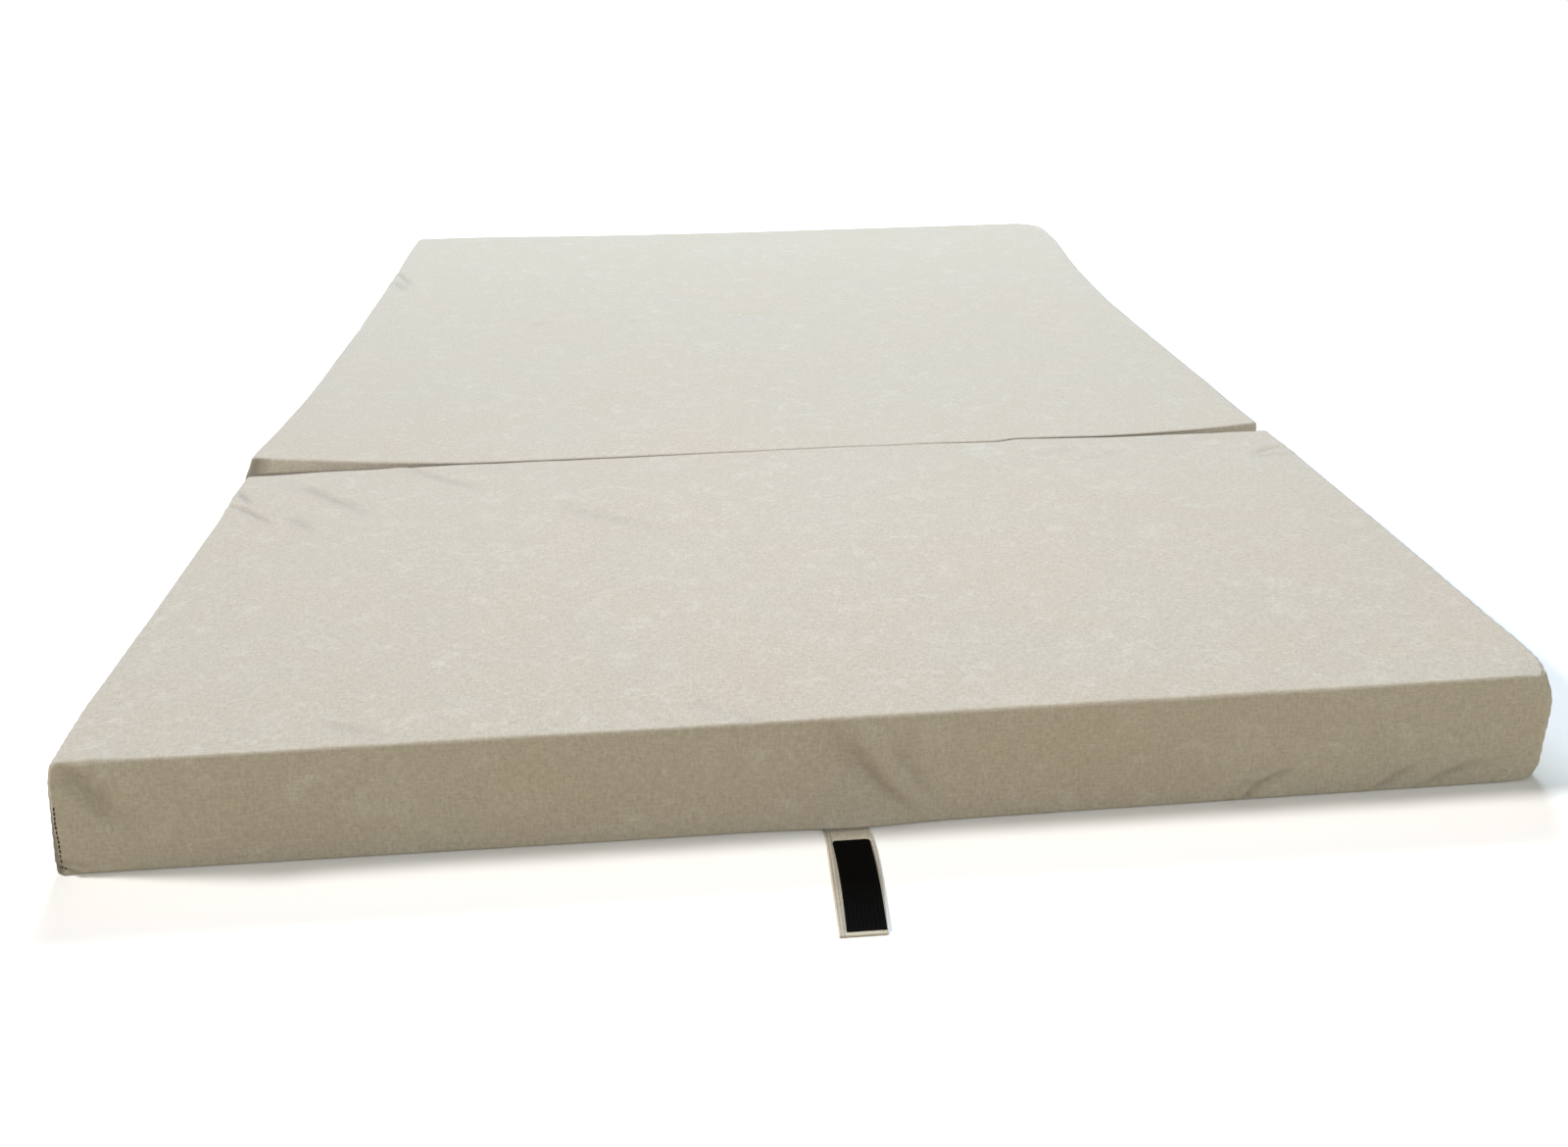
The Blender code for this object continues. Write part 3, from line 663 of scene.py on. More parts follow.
def make_cover(name):
    """One section's cover as a soft, closed form with its zip slit."""
    low, high = cover_box(name)
    centre = (high.y - low.y) / 2
    rows = [row_places(ROWS_ACROSS[name]),
            row_places(ROWS_ALONG[name], (centre - ZIP_LENGTH / 2, centre + ZIP_LENGTH / 2)),
            row_places(ROWS_UP, (ZIP_HEIGHT - SLIT_HALF, ZIP_HEIGHT + SLIT_HALF))]
    bm = gridded_box(rows)
    bmesh.ops.translate(bm, vec=low, verts=bm.verts)
    cut_slit(bm, low, high)
    # The underside is flat, so its middle needs no rows
    middle = {vert for vert in bm.verts if vert.co.z < 1e-6 and low.x + RIM < vert.co.x < high.x - RIM
              and low.y + RIM < vert.co.y < high.y - RIM}
    bmesh.ops.dissolve_faces(bm, faces=[face for face in bm.faces if middle.issuperset(face.verts)])
    bmesh.ops.recalc_face_normals(bm, faces=bm.faces)
    mesh = bpy.data.meshes.new(f"{name}_mattress_cover")
    bm.to_mesh(mesh)
    bm.free()
    box = read_values(mesh.vertices, "co", 3)
    lay_cloth_pattern(mesh, box, low, high)
    points = soft_form(name, box, low, high)
    mesh.vertices.foreach_set("co", points.ravel())
    mesh.update()
    lift, shade = lie_of_cloth(name, box, low, high)
    write_shade(mesh, shade)
    points = pulled(name, points + read_values(mesh.vertices, "normal", 3) * lift[:, None])
    if name == "near":
        points = base_bulge(points)
    mesh.vertices.foreach_set("co", points.ravel())
    mesh.shade_smooth()
    mesh.materials.append(COVER_CLOTH)
    faces = [list(face.vertices) for face in mesh.polygons]
    COVER_SURFACES[name] = BVHTree.FromPolygons(points.tolist(), faces)
    print(mesh.name, "faces", len(faces), "z", points[:, 2].min().round(5), points[:, 2].max().round(5))
    return put(mesh.name, mesh)


for section in FORMS:
    cover = make_cover(section)
    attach(cover, f"{section}_section")
    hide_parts(f"{section}_cover", f"{section}_foam")

# %% [markdown]
# ## Foam cores
# Inside each cover is a block of polyurethane foam. It isn't seen while the cover is closed, but it
# is a part of its own, so each block gets a form a little inside its cover, with the same edges.


# %% Helpers for pieces
def new_piece(bm, name, material, body, slot_name, smooth=True):
    """Turns a bmesh into a piece that rides on a body."""
    mesh = bpy.data.meshes.new(name)
    bm.to_mesh(mesh)
    bm.free()
    mesh.materials.append(material)
    if smooth:
        mesh.shade_smooth()
    piece = put(name, mesh)
    if body:
        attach(piece, body)
    print(name, "faces", len(mesh.polygons))
    return piece


def copies(bm, part, places):
    """Adds a copy of a small part at each place."""
    shape = bpy.data.meshes.new("part")
    part.to_mesh(shape)
    part.free()
    for place in places:
        shape.transform(place)
        bm.from_mesh(shape)
        shape.transform(place.inverted())
    bpy.data.meshes.remove(shape)


def lay_pattern(bm, to_flat):
    """Writes where each point of a piece lies on its flat cloth."""
    layer = bm.loops.layers.uv.new("cloth")
    for face in bm.faces:
        for loop in face.loops:
            loop[layer].uv = to_flat(loop.vert.co)


# %% Polyurethane foam: open cells of about half a millimetre, drawn at 1.5 mm
FOAM_CELL = 1.5 * MM
FOAM, add = new_material("polyurethane foam, cut, white")
cells = add("TexVoronoi", {"Vector": add("TexCoord", output="Object"), "Scale": 1 / FOAM_CELL},
            feature="DISTANCE_TO_EDGE")
# Painted shade: the foam is darker in the grooves between its cells
foam_with_groove_shade = mix(add, linear("ece6d2"), mapped(add, cells, 0.0, 0.2, 0.82, 1.0), how="MULTIPLY")
bump = add("Bump", {"Height": cells, "Strength": 0.5, "Distance": 0.4 * MM})
surface(add, Base_Color=foam_with_groove_shade, Normal=bump, Roughness=0.95, Specular_IOR_Level=0.2)

# %% Foam blocks, with fine rows along their edges only
FOAM_INSET = 0.0055
FOAM_RIM, FOAM_RIM_UP, FOAM_FINE, FOAM_STEP, FOAM_STEP_UP = 0.024, 0.012, 0.003, 0.020, 0.012


def rows_with_rims(side, rim, fine, step):
    """Rows along a side, close together by both of its ends."""
    return row_places(((rim, fine), (side - rim, step), (side, fine)))


for section in FORMS:
    low, high = cover_box(section)
    sides = (high.x - low.x, high.y - low.y)
    foam_rows = [rows_with_rims(side, FOAM_RIM, FOAM_FINE, FOAM_STEP) for side in sides]
    foam_rows.append(rows_with_rims(HEIGHT, FOAM_RIM_UP, FOAM_FINE, FOAM_STEP_UP))
    bm = gridded_box(foam_rows)
    bmesh.ops.translate(bm, vec=low, verts=bm.verts)
    for vert, point in zip(bm.verts, soft_form(section, np.array([vert.co for vert in bm.verts]), low, high)):
        vert.co = point
    bmesh.ops.recalc_face_normals(bm, faces=bm.faces)
    bm.normal_update()
    for vert in bm.verts:
        vert.co -= vert.normal * FOAM_INSET
    foam = new_piece(bm, f"{section}_foam_core", FOAM, f"{section}_section", "foam")

# %% [markdown]
# ## Cloth across the folds
# The cover's cloth runs on from one block to the next. At the second fold it crosses at the top, so
# only faint creases show there. At the first fold it crosses at the floor, at the bottom of the
# slot. Each crossing is a thin strip laid across the joint; over the second fold it follows both blocks.

# %% Strip over the second fold
BAND_HALF, BAND_BEND, BAND_DROP, BAND_THICK = 0.0125, 0.00125, 0.014, 0.0005
BAND_ROWS = (-1.0, -0.8, -0.6, -0.4, -0.2, -0.1, -0.05, 0.0, 0.05, 0.1, 0.2, 0.4, 0.6, 0.8, 1.0)
BAND_SIDE, BAND_SIDE_POINTS, BAND_TOP_POINTS = 0.016, 11, 236
# The strip stands proud of the covers in the middle, and its borders are tucked into them
BAND_PROUD, BAND_TUCK = 0.00012, 0.0005
# Where the closed strap passes over the fold: its middle, half width and the room that it needs
STRAP_MIDDLE, STRAP_SPAN, STRAP_ROOM = 0.0135, 0.034, 0.0014


def outline_over_top(y):
    """Box points up the left wall, across the top and down the right wall, at one place along."""
    rise = np.linspace(HEIGHT - BAND_DROP, HEIGHT, 10)
    inner = HALF_WIDTH - BAND_SIDE
    across = np.concatenate([np.linspace(-HALF_WIDTH, -inner, BAND_SIDE_POINTS)[1:],
                             np.linspace(-inner, inner, BAND_TOP_POINTS)[1:],
                             np.linspace(inner, HALF_WIDTH, BAND_SIDE_POINTS)[1:]])
    left = [(-HALF_WIDTH, y, z) for z in rise]
    top = [(x, y, HEIGHT) for x in across]
    right = [(HALF_WIDTH, y, z) for z in rise[::-1][1:]]
    return np.array(left + top + right)


def on_cover(name, box):
    """Nearest points of the finished cover to points of its plain box."""
    points = soft_form(name, box, *cover_box(name))
    return [COVER_SURFACES[name].find_nearest(Vector(point))[0] for point in points]


def cloth_strip(bm, name, node):
    """Gives a strip of cloth its pattern and thickness, and lets it stand for its node."""
    lay_pattern(bm, lambda spot: (spot.x, spot.y))
    bmesh.ops.solidify(bm, geom=bm.faces, thickness=BAND_THICK)
    bmesh.ops.recalc_face_normals(bm, faces=bm.faces)
    strip = new_piece(bm, name, COVER_CLOTH, None, "cover_drill")
    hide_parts(node)
    return strip


nearer = on_cover("middle", outline_over_top(FOLD_FAR_Y - BAND_HALF))
farther = on_cover("far", outline_over_top(FOLD_FAR_Y + BAND_HALF))
bm = bmesh.new()
bmesh.ops.create_grid(bm, x_segments=len(nearer) - 1, y_segments=len(BAND_ROWS) - 1, size=0.5)
for number, vert in enumerate(sorted(bm.verts, key=lambda v: (round(v.co.y, 4), v.co.x))):
    row, place = divmod(number, len(nearer))
    share = BAND_ROWS[row]
    vert.co = nearer[place].lerp(farther[place], (share + 1) / 2)
    on_side = place < 8 or place > len(nearer) - 9
    out = Vector((vert.co.x, 0, 0)).normalized() if on_side else Vector((0, 0, 1))
    vert.co += out * (BAND_PROUD * (1 - share ** 2) - BAND_TUCK * max(abs(share) - 0.8, 0) / 0.2)
    # Under the closed strap it lies above the hinge line
    level = math.exp(-((vert.co.x - STRAP_MIDDLE) / STRAP_SPAN) ** 4) * unit((0.8 - abs(share)) / 0.7)
    vert.co.z += (HEIGHT + STRAP_ROOM - vert.co.z) * level
bmesh.ops.recalc_face_normals(bm, faces=bm.faces)
if sum(face.normal.z for face in bm.faces) < 0:
    bmesh.ops.reverse_faces(bm, faces=bm.faces)
far_band = cloth_strip(bm, "far_fold_cloth", "far_fold_strip")
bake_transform(far_band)

# %% Strip under the first fold, a little puckered
UNDER_HALF, UNDER_LONG, UNDER_Z, UNDER_PUCKER = 0.0046, 0.588, 0.0004, 0.0003
bm = bmesh.new()
bmesh.ops.create_grid(bm, x_segments=300, y_segments=6, size=0.5)
for vert in bm.verts:
    x, y = vert.co.x * 2 * UNDER_LONG, vert.co.y * 2 * UNDER_HALF
    pucker = UNDER_PUCKER * (1 + math.sin(x / 0.0031 + 2.0 * math.sin(x / 0.021)))
    vert.co = (x, FOLD_NEAR_Y + y, UNDER_Z + BAND_THICK + pucker * (1 - (y / UNDER_HALF) ** 2))
near_band = cloth_strip(bm, "near_fold_cloth", "near_fold_strip")
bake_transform(near_band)

# %% [markdown]
# ## Closing strap
# The strap is the same cotton, folded and sewn into a flat band 36 mm wide, with its long edges
# turned in. A strip of black hook tape is sewn on it. It is modelled flat, from a gridded box, with
# the turned edges a little thicker, a groove where each row of stitches pulls it down, and a slight
# wave, because such a strap never lies quite flat.

# %% Band with turned edges
STRAP_LOW, STRAP_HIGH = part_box("closing_strap")
STRAP_WIDE, STRAP_LONG = STRAP_HIGH.x - STRAP_LOW.x, STRAP_HIGH.y - STRAP_LOW.y
STRAP_THICK, STRAP_RIM, STRAP_FINE, STRAP_STEP = 0.0012, 0.006, 0.0006, 0.0016
# The turned edge: how wide it is, how far in it is stitched, and the lines of painted shade along it
HEM_WIDE, HEM_STITCH, HEM_LINES, LINE_WIDE = 0.0046, 0.0031, (0.0016, 0.0040), 0.0005
# How far the strap's end lies to the left, how far its right edge bulges, and its root in the shade
STRAP_SKEW, STRAP_BEND, STRAP_ROOT = 0.0025, 0.0030, 0.0112
# How much thicker the turned edge is, how deep the stitches pull it, how far its border is rounded
# down, and how high the puckers are
HEM_RISE, GROOVE_DEPTH, BORDER_ROUND, STRAP_PUCKER = 0.0004, 0.00025, 0.0006, 0.00012
print("strap", [round(v, 4) for v in STRAP_LOW], [round(v, 4) for v in STRAP_HIGH])


def strap_relief(across, along, wide, length):
    """How far a strap's upper face stands above or below its plain height."""
    from_edge = np.minimum(across, wide - across)
    from_border = np.minimum(from_edge, length - along)
    hem = HEM_RISE * (1 - unit((from_border - HEM_WIDE) / 0.0006))
    groove = GROOVE_DEPTH * bell(from_edge - HEM_STITCH, 0.0005)
    edge = BORDER_ROUND * unit(1 - from_border / 0.0009) ** 2
    puckers = STRAP_PUCKER * np.sin(2 * math.pi * along / 0.0062 + 1.3 * np.sin(along / 0.011))
    return hem - groove - edge + puckers * bell(from_edge, 0.006)


def strap_shift(across, along):
    """How far to the right the closing strap lies there: its right edge bulges, its left is straight."""
    share = min(max(along / STRAP_LONG, 0.0), 1.0)
    return STRAP_BEND * math.sin(math.pi * share ** 0.8) * across / STRAP_WIDE - STRAP_SKEW * share


def make_strap(name, node, upright):
    """The strap that stands for a node, on the body of that name: flat along -Y, or standing up."""
    low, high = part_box(node)
    wide = high.x - low.x
    length = (high.z - low.z) if upright else (high.y - low.y)
    rows = [rows_with_rims(side, STRAP_RIM, STRAP_FINE, STRAP_STEP) for side in (wide, length)]
    bm = gridded_box(rows + [np.array([0.0, STRAP_THICK / 2, STRAP_THICK])])
    lay_pattern(bm, lambda spot: (spot.x, spot.y + spot.z))
    flat = np.array([vert.co for vert in bm.verts])
    relief = strap_relief(flat[:, 0], flat[:, 1], wide, length)
    for vert, (across, along, up), rise in zip(bm.verts, flat, relief):
        up += rise * up / STRAP_THICK
        if upright:
            vert.co = (low.x + across, low.y + up, low.z + along)
        else:
            vert.co = (low.x + across + strap_shift(across, along), high.y - along, low.z + up)
    bmesh.ops.recalc_face_normals(bm, faces=bm.faces)
    piece = new_piece(bm, name, STRAP_CLOTH, node, "strap_drill")
    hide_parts(node)
    # Shade in the two lines where the turned edge ends, and at the closing strap's root
    lines = [bell(flat[:, 0] - line, LINE_WIDE) for line in HEM_LINES]
    lines.append(0.7 * unit((STRAP_ROOT - flat[:, 1]) / 0.0012) * (not upright))
    write_shade(piece.data, 0.9 * np.max(lines, 0) * (flat[:, 2] > STRAP_THICK / 4))


make_strap("strap_band", "closing_strap", False)
make_strap("loop_strap_band", "loop_strap", True)

# %% [markdown]
# ## Hook tape and loop tape
# Hook tape is a black nylon weave with rows of small stiff hooks, cut from loops, about 1.5 mm
# apart. Its mate carries a felt of soft loops. One hook is made from a thin square bar, extruded
# and turned four times, and is then copied along the rows, each turned a little its own way.


# %% Black nylon: dark, a little glossy, woven at half a millimetre, drawn at 1 mm
def black_nylon(name, code, rough):
    """Dark woven nylon with a fine grain."""
    material, add = new_material(name)
    grain = cloud(add, add("TexCoord", output="Object"), 1.0 * MM, 3.0)
    bump = add("Bump", {"Height": grain, "Strength": 0.5, "Distance": 0.2 * MM})
    surface(add, Base_Color=mix(add, linear(code), linear("0b0a0a"), grain), Normal=bump, Roughness=rough,
            Specular_IOR_Level=0.08)
    return material


HOOK_NYLON = black_nylon("nylon hook tape, black", "020202", 0.8)
LOOP_NYLON = black_nylon("nylon loop tape, brushed, black", "0a0a0a", 0.95)

# %% Tape with its hooks
TAPE_SHIFT, TAPE_TURN, TAPE_CORNER, TAPE_SINK = Vector((-0.0003, 0, 0)), 0.0005, 0.0030, 0.0003
TAPE_LOW, TAPE_HIGH = (corner + TAPE_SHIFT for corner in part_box("hook_tape"))
HOOK_PITCH, HOOK_WIRE, HOOK_RISE, HOOK_BORDER, CORNER_CUT = 0.0016, 0.00022, 0.0010, 0.002, 0.0048
# A hook's four lengths as shares of its rise, and how far each leans over, in radians
HOOK_BENDS = ((0.45, 0.0), (0.30, 0.9), (0.26, 1.6), (0.28, 2.4))


def rounded(bm, edges, offset, segments):
    """Rounds some edges of a piece."""
    bmesh.ops.bevel(bm, geom=edges, offset=offset, segments=segments, profile=0.5, affect="EDGES",
                    material=-1)


def edge_way(edge):
    """How far an edge reaches along each axis."""
    return edge.verts[0].co - edge.verts[1].co


def tape_ground(low, high):
    """A thin woven strip with two rounded corners at its root."""
    bm = bmesh.new()
    bmesh.ops.create_cube(bm, size=1.0)
    size = high - low
    bmesh.ops.scale(bm, vec=size, verts=bm.verts)
    bmesh.ops.translate(bm, vec=(low + high) / 2 - Vector((0, 0, TAPE_SINK)), verts=bm.verts)
    upright = [edge for edge in bm.edges if abs(edge_way(edge).z) > size.z / 2]
    by_root = [edge for edge in upright if edge.verts[0].co.y > low.y + size.y / 2]
    rounded(bm, by_root, TAPE_CORNER, 5)
    for step in np.arange(low.y + 0.010, high.y - 0.006, 0.010):
        whole = bm.verts[:] + bm.edges[:] + bm.faces[:]
        bmesh.ops.bisect_plane(bm, geom=whole, plane_co=(0, step, 0), plane_no=(0, 1, 0))
    return bm


def one_hook():
    """A bar that rises, bends over and ends pointing down."""
    bm = bmesh.new()
    verts = bmesh.ops.create_grid(bm, x_segments=1, y_segments=1, size=HOOK_WIRE / 2)["verts"]
    face = next(iter({face for vert in verts for face in vert.link_faces}))
    for step, tilt in HOOK_BENDS:
        face = bmesh.ops.extrude_discrete_faces(bm, faces=[face])["faces"][0]
        way = Vector((math.sin(tilt), 0, math.cos(tilt))) * (HOOK_RISE * step)
        bmesh.ops.translate(bm, vec=way, verts=face.verts)
        turn = Matrix.Rotation(0.75, 3, "Y")
        bmesh.ops.rotate(bm, verts=face.verts, cent=face.calc_center_median(), matrix=turn)
    return bm


places = []
for number_y in range(int((TAPE_HIGH.y - TAPE_LOW.y - 2 * HOOK_BORDER) / HOOK_PITCH) + 1):
    for number_x in range(int((TAPE_HIGH.x - TAPE_LOW.x - 2 * HOOK_BORDER) / HOOK_PITCH) + 1):
        odd = number_x % 2
        x = TAPE_LOW.x + HOOK_BORDER + number_x * HOOK_PITCH
        y = TAPE_LOW.y + HOOK_BORDER + (number_y + 0.5 * odd) * HOOK_PITCH
        # None stands on the two rounded corners
        if min(x - TAPE_LOW.x, TAPE_HIGH.x - x) + TAPE_HIGH.y - y >= CORNER_CUT:
            wobble = noise.noise(Vector((number_x * 3.1, number_y * 1.7, 0.5)))
            turn = Matrix.Rotation(wobble * 1.2 + math.pi * odd, 4, "Z")
            places.append(Matrix.Translation((x, y, TAPE_HIGH.z - TAPE_SINK)) @ turn)
bm = tape_ground(TAPE_LOW, TAPE_HIGH)
copies(bm, one_hook(), places)
for vert in bm.verts:
    along = STRAP_HIGH.y - vert.co.y
    vert.co.x += strap_shift(0.8 * STRAP_WIDE, along) + (TAPE_TURN + STRAP_SKEW) * along / STRAP_LONG
hook_tape = new_piece(bm, "hook_tape_strip", HOOK_NYLON, "closing_strap", "hook_tape", smooth=False)
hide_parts("hook_tape")

# %% Tape with its loops
LOOP_LOW, LOOP_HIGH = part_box("loop_tape")
TAPE_ROWS, LOOP_STEP, LOOP_FUZZ = np.array([0.0, 0.0004, 0.0008]), 0.0009, 0.0005
sides = (LOOP_HIGH.x - LOOP_LOW.x, LOOP_HIGH.z - LOOP_LOW.z)
bm = gridded_box([row_places(((side, LOOP_STEP),)) for side in sides] + [TAPE_ROWS])
for vert in bm.verts:
    across, along, up = vert.co
    fuzz = LOOP_FUZZ * noise.noise(Vector((across, along, 0)) / 0.0011) if up > 0.0006 else 0.0
    vert.co = (LOOP_LOW.x + across, LOOP_LOW.y + up + fuzz, LOOP_LOW.z + along)
bmesh.ops.recalc_face_normals(bm, faces=bm.faces)
loop_tape = new_piece(bm, "loop_tape_strip", LOOP_NYLON, "loop_strap", "loop_tape")
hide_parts("loop_tape")

# %% [markdown]
# ## Zips
# Each cover opens with a nylon coil zip in its left side wall. Two woven tapes carry the coil,
# which from outside looks like two rows of short bars that mesh. The slider and its pull are
# nickel-plated zinc. The bars are copies of one small cylinder, laid along the wall, which is drawn
# in a little towards the folds.

# %% Zip finishes
ZIP_CLOTH = cotton_drill("polyester zip tape, woven, cream", "cfc6b4", "d4cdbc", "dcd6c8", 0.1)


def smooth_finish(name, code, rough, metallic, grain_size):
    """A moulded or plated finish whose gloss varies a little over the surface."""
    material, add = new_material(name)
    grain = cloud(add, add("TexCoord", output="Object"), grain_size, 3.0)
    gloss = mapped(add, grain, 0.0, 1.0, rough - 0.08, rough + 0.12)
    surface(add, Base_Color=linear(code), Metallic=metallic, Roughness=gloss)
    return material


COIL_NYLON = smooth_finish("nylon zip coil, cream", "d9d2c0", 0.45, 0.0, 3 * MM)
ZIP_NICKEL = smooth_finish("zinc die casting, nickel plated", "b9b6b0", 0.32, 1.0, 2 * MM)

# %% Tapes and coil of each zip
COIL_PITCH, COIL_WIRE, COIL_BAR, COIL_APART = 0.0013, 0.0005, 0.0044, 0.0008


def wall_x(y):
    """Where the left wall stands at y."""
    return -(HALF_WIDTH - float(waist(np.array(y))))


def zip_tape(name, low, high, body):
    """A woven strip along the wall, in the plane of the wall."""
    rows = [row_places(((side, step),)) for side, step in ((high.y - low.y, 0.004), (high.z - low.z, 0.0011))]
    bm = gridded_box([TAPE_ROWS] + rows)
    lay_pattern(bm, lambda spot: (spot.y, spot.z + spot.x))
    for vert in bm.verts:
        y = low.y + vert.co.y
        wave = 0.00015 * math.sin(y / 0.007)
        vert.co = (wall_x(y) + 0.00015 + vert.co.x + wave, y, low.z + vert.co.z)
    bmesh.ops.recalc_face_normals(bm, faces=bm.faces)
    return new_piece(bm, name, ZIP_CLOTH, body, "zip_tape")


def bars(name, spots, size, material, body, slot_name, turns=None):
    """Many copies of one short rounded bar: its two radii and its length."""
    bar = bmesh.new()
    bmesh.ops.create_cone(bar, cap_ends=True, segments=6, radius1=size[0], radius2=size[0], depth=size[2])
    caps = [face for face in bar.faces if len(face.verts) == 6]
    bmesh.ops.inset_region(bar, faces=caps, thickness=size[0] * 0.45, depth=size[0] * 0.4)
    bmesh.ops.scale(bar, vec=(1, size[1] / size[0], 1), verts=bar.verts)
    turns = turns or [Matrix.Identity(4)] * len(spots)
    bm = bmesh.new()
    copies(bm, bar, [Matrix.Translation(spot) @ turn for spot, turn in zip(spots, turns)])
    return new_piece(bm, name, material, body, slot_name)


for section in FORMS:
    body = f"{section}_section"
    for half in ("upper", "lower"):
        node = f"{section}_zip_tape_{half}"
        tape = zip_tape(f"{section}_tape_{half}", *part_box(node), body)
        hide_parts(node)
    low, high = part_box(f"{section}_zip_coil")
    spots = []
    for number in range(int((high.y - low.y - 0.001) / COIL_PITCH * 2)):
        y = low.y + 0.0006 + number * COIL_PITCH / 2
        spots.append((wall_x(y) - 0.0002, y, ZIP_HEIGHT + (COIL_APART if number % 2 else -COIL_APART)))
    bar_size = (COIL_WIRE, COIL_WIRE * 0.9, COIL_BAR)
    coil = bars(f"{section}_coil", spots, bar_size, COIL_NYLON, body, "zip_coil")
    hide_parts(f"{section}_zip_coil")

# %% Slider: a plate with a bridge for the pull
SLIDER_PLATE, SLIDER_BRIDGE, SLIDER_TAPER = (0.0012, 0.0120, 0.0090), (0.0014, 0.0072, 0.0020), 0.72


def block(bm, size, x):
    """Adds a block of that size, centred at x."""
    verts = bmesh.ops.create_cube(bm, size=1.0)["verts"]
    bmesh.ops.scale(bm, vec=size, verts=verts)
    bmesh.ops.translate(bm, vec=(x, 0, 0), verts=verts)
    return verts


def sharp_edges(bm):
    """The edges where two faces meet at a clear angle."""
    return [edge for edge in bm.edges if edge.calc_face_angle(0.0) > 1.0]


def make_slider(section):
    """A zip's slider, in the place of its node."""
    low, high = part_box(f"{section}_zip_slider")
    bm = bmesh.new()
    for vert in block(bm, SLIDER_PLATE, 0.0006):
        # The plate is narrower where the closed coil leaves it
        if vert.co.y > 0:
            vert.co.z *= SLIDER_TAPER
    block(bm, SLIDER_BRIDGE, -0.0006)
    rounded(bm, [edge for edge in bm.edges if abs(edge_way(edge).normalized().x) > 0.9], 0.0007, 3)
    rounded(bm, sharp_edges(bm), 0.00022, 2)
    bmesh.ops.translate(bm, vec=(low + high) / 2, verts=bm.verts)
    bmesh.ops.recalc_face_normals(bm, faces=bm.faces)
    slider = new_piece(bm, f"{section}_slider_body", ZIP_NICKEL, f"{section}_slider", "zip_metal", False)
    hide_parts(f"{section}_zip_slider")


def make_pull(section):
    """A flat drop with a hole at its hinge end, and rounded edges."""
    low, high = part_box(f"{section}_zip_pull")
    size = high - low
    bm = bmesh.new()
    outer = bmesh.ops.create_circle(bm, segments=32, radius=1.0)["verts"]
    inner = bmesh.ops.create_circle(bm, segments=32, radius=0.42)["verts"]
    for vert in outer:
        angle = math.atan2(vert.co.y, vert.co.x)
        along, across = math.cos(angle), math.sin(angle)
        stretch = 1.0 / max(abs(along) ** 4 + abs(across) ** 4, 1e-6) ** 0.25
        taper = 0.82 + 0.18 * (0.5 - 0.5 * along)
        vert.co = (along * stretch * size.y / 2, across * stretch * size.z / 2 * taper, 0)
    for vert in inner:
        vert.co = (vert.co.x * size.z * 0.42 - size.y * 0.33, vert.co.y * size.z * 0.5, 0)
    bmesh.ops.bridge_loops(bm, edges=bm.edges[:])
    grown = bmesh.ops.extrude_face_region(bm, geom=bm.faces[:])["geom"]
    bmesh.ops.translate(bm, vec=(0, 0, size.x), verts=points_of(grown))
    bmesh.ops.recalc_face_normals(bm, faces=bm.faces)
    rounded(bm, sharp_edges(bm), 0.0002, 2)
    upright = Matrix(((0, 0, 1), (1, 0, 0), (0, 1, 0)))
    bmesh.ops.rotate(bm, verts=bm.verts, cent=(0, 0, 0), matrix=upright)
    bmesh.ops.translate(bm, vec=(low.x, (low.y + high.y) / 2, (low.z + high.z) / 2), verts=bm.verts)
    bmesh.ops.recalc_face_normals(bm, faces=bm.faces)
    pull = new_piece(bm, f"{section}_pull_tab", ZIP_NICKEL, f"{section}_pull", "zip_metal", False)
    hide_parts(f"{section}_zip_pull")


for section in FORMS:
    make_slider(section)
    make_pull(section)
    for end in ("start", "end"):
        for material_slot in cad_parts[f"{section}_zip_{end}_stop"].material_slots:
            material_slot.material = ZIP_NICKEL

# %% [markdown]
# ## Thread
# Rows of stitches run beside each zip, down the sewn corner in front, at the strap's root and along
# the strap's turned edges. A stitch is one short rounded bar, laid on the cloth and sunk to half its
# thickness.

# %% Thread finish: spun polyester, matt, its twist too fine to draw
THREAD = smooth_finish("spun polyester thread, cream", "cfc7b3", 0.7, 0.0, 1 * MM)
PALE_THREAD = smooth_finish("spun polyester thread, white", "f6f2e8", 0.7, 0.0, 1 * MM)
# The corner seam's stitches are real, but drawn thick and dark brown: the shade in their needle holes is
# painted into their colour
SHADED_SEAM_THREAD = smooth_finish("seam thread, dark, with painted shade", "2e2822", 0.85, 0.0, 1 * MM)
# A kind of stitch: its length, how far it is to the next, how thick it is, and its thread
ZIP_STITCH = (0.0030, 0.0038, 0.0005, THREAD)
STRAP_STITCH = (0.0024, 0.0031, 0.0005, THREAD)
SEAM_STITCH = (0.0026, 0.0042, 0.0014, SHADED_SEAM_THREAD)
ROOT_STITCH = (0.0016, 0.0025, 0.0008, PALE_THREAD)


def stitches(name, path, kind, section=None):
    """Stitches along a path of points: on the cover of a section, or else on the closing strap."""
    length, pitch, wire, material = kind
    spots, turns = [], []
    passed, wanted = 0.0, pitch / 2
    for a, b in zip(path, path[1:]):
        a, b = Vector(a), Vector(b)
        reach = (b - a).length
        while wanted < passed + reach:
            spot = a.lerp(b, (wanted - passed) / reach)
            spots.append(COVER_SURFACES[section].find_nearest(spot)[0] if section else spot)
            turns.append((b - a).to_track_quat("Z", "Y").to_matrix().to_4x4())
            wanted += pitch
        passed += reach
    body, slot_name = (f"{section}_section", "cover_drill") if section else ("closing_strap", "strap_drill")
    bars(name, spots, (wire / 2, wire / 2, length), material, body, slot_name, turns)


# %% Rows of stitches
ZIP_STITCH_OFF, ZIP_STITCH_PAST, STRAP_STITCH_Z = 0.0022, 0.002, 0.00136
SEAM_ROUTE = [(-0.5985, -1.001, 0.062), (-0.6005, -1.001, 0.045), (-0.6012, -1.001, 0.020),
              (-0.6016, -1.001, 0.002)]
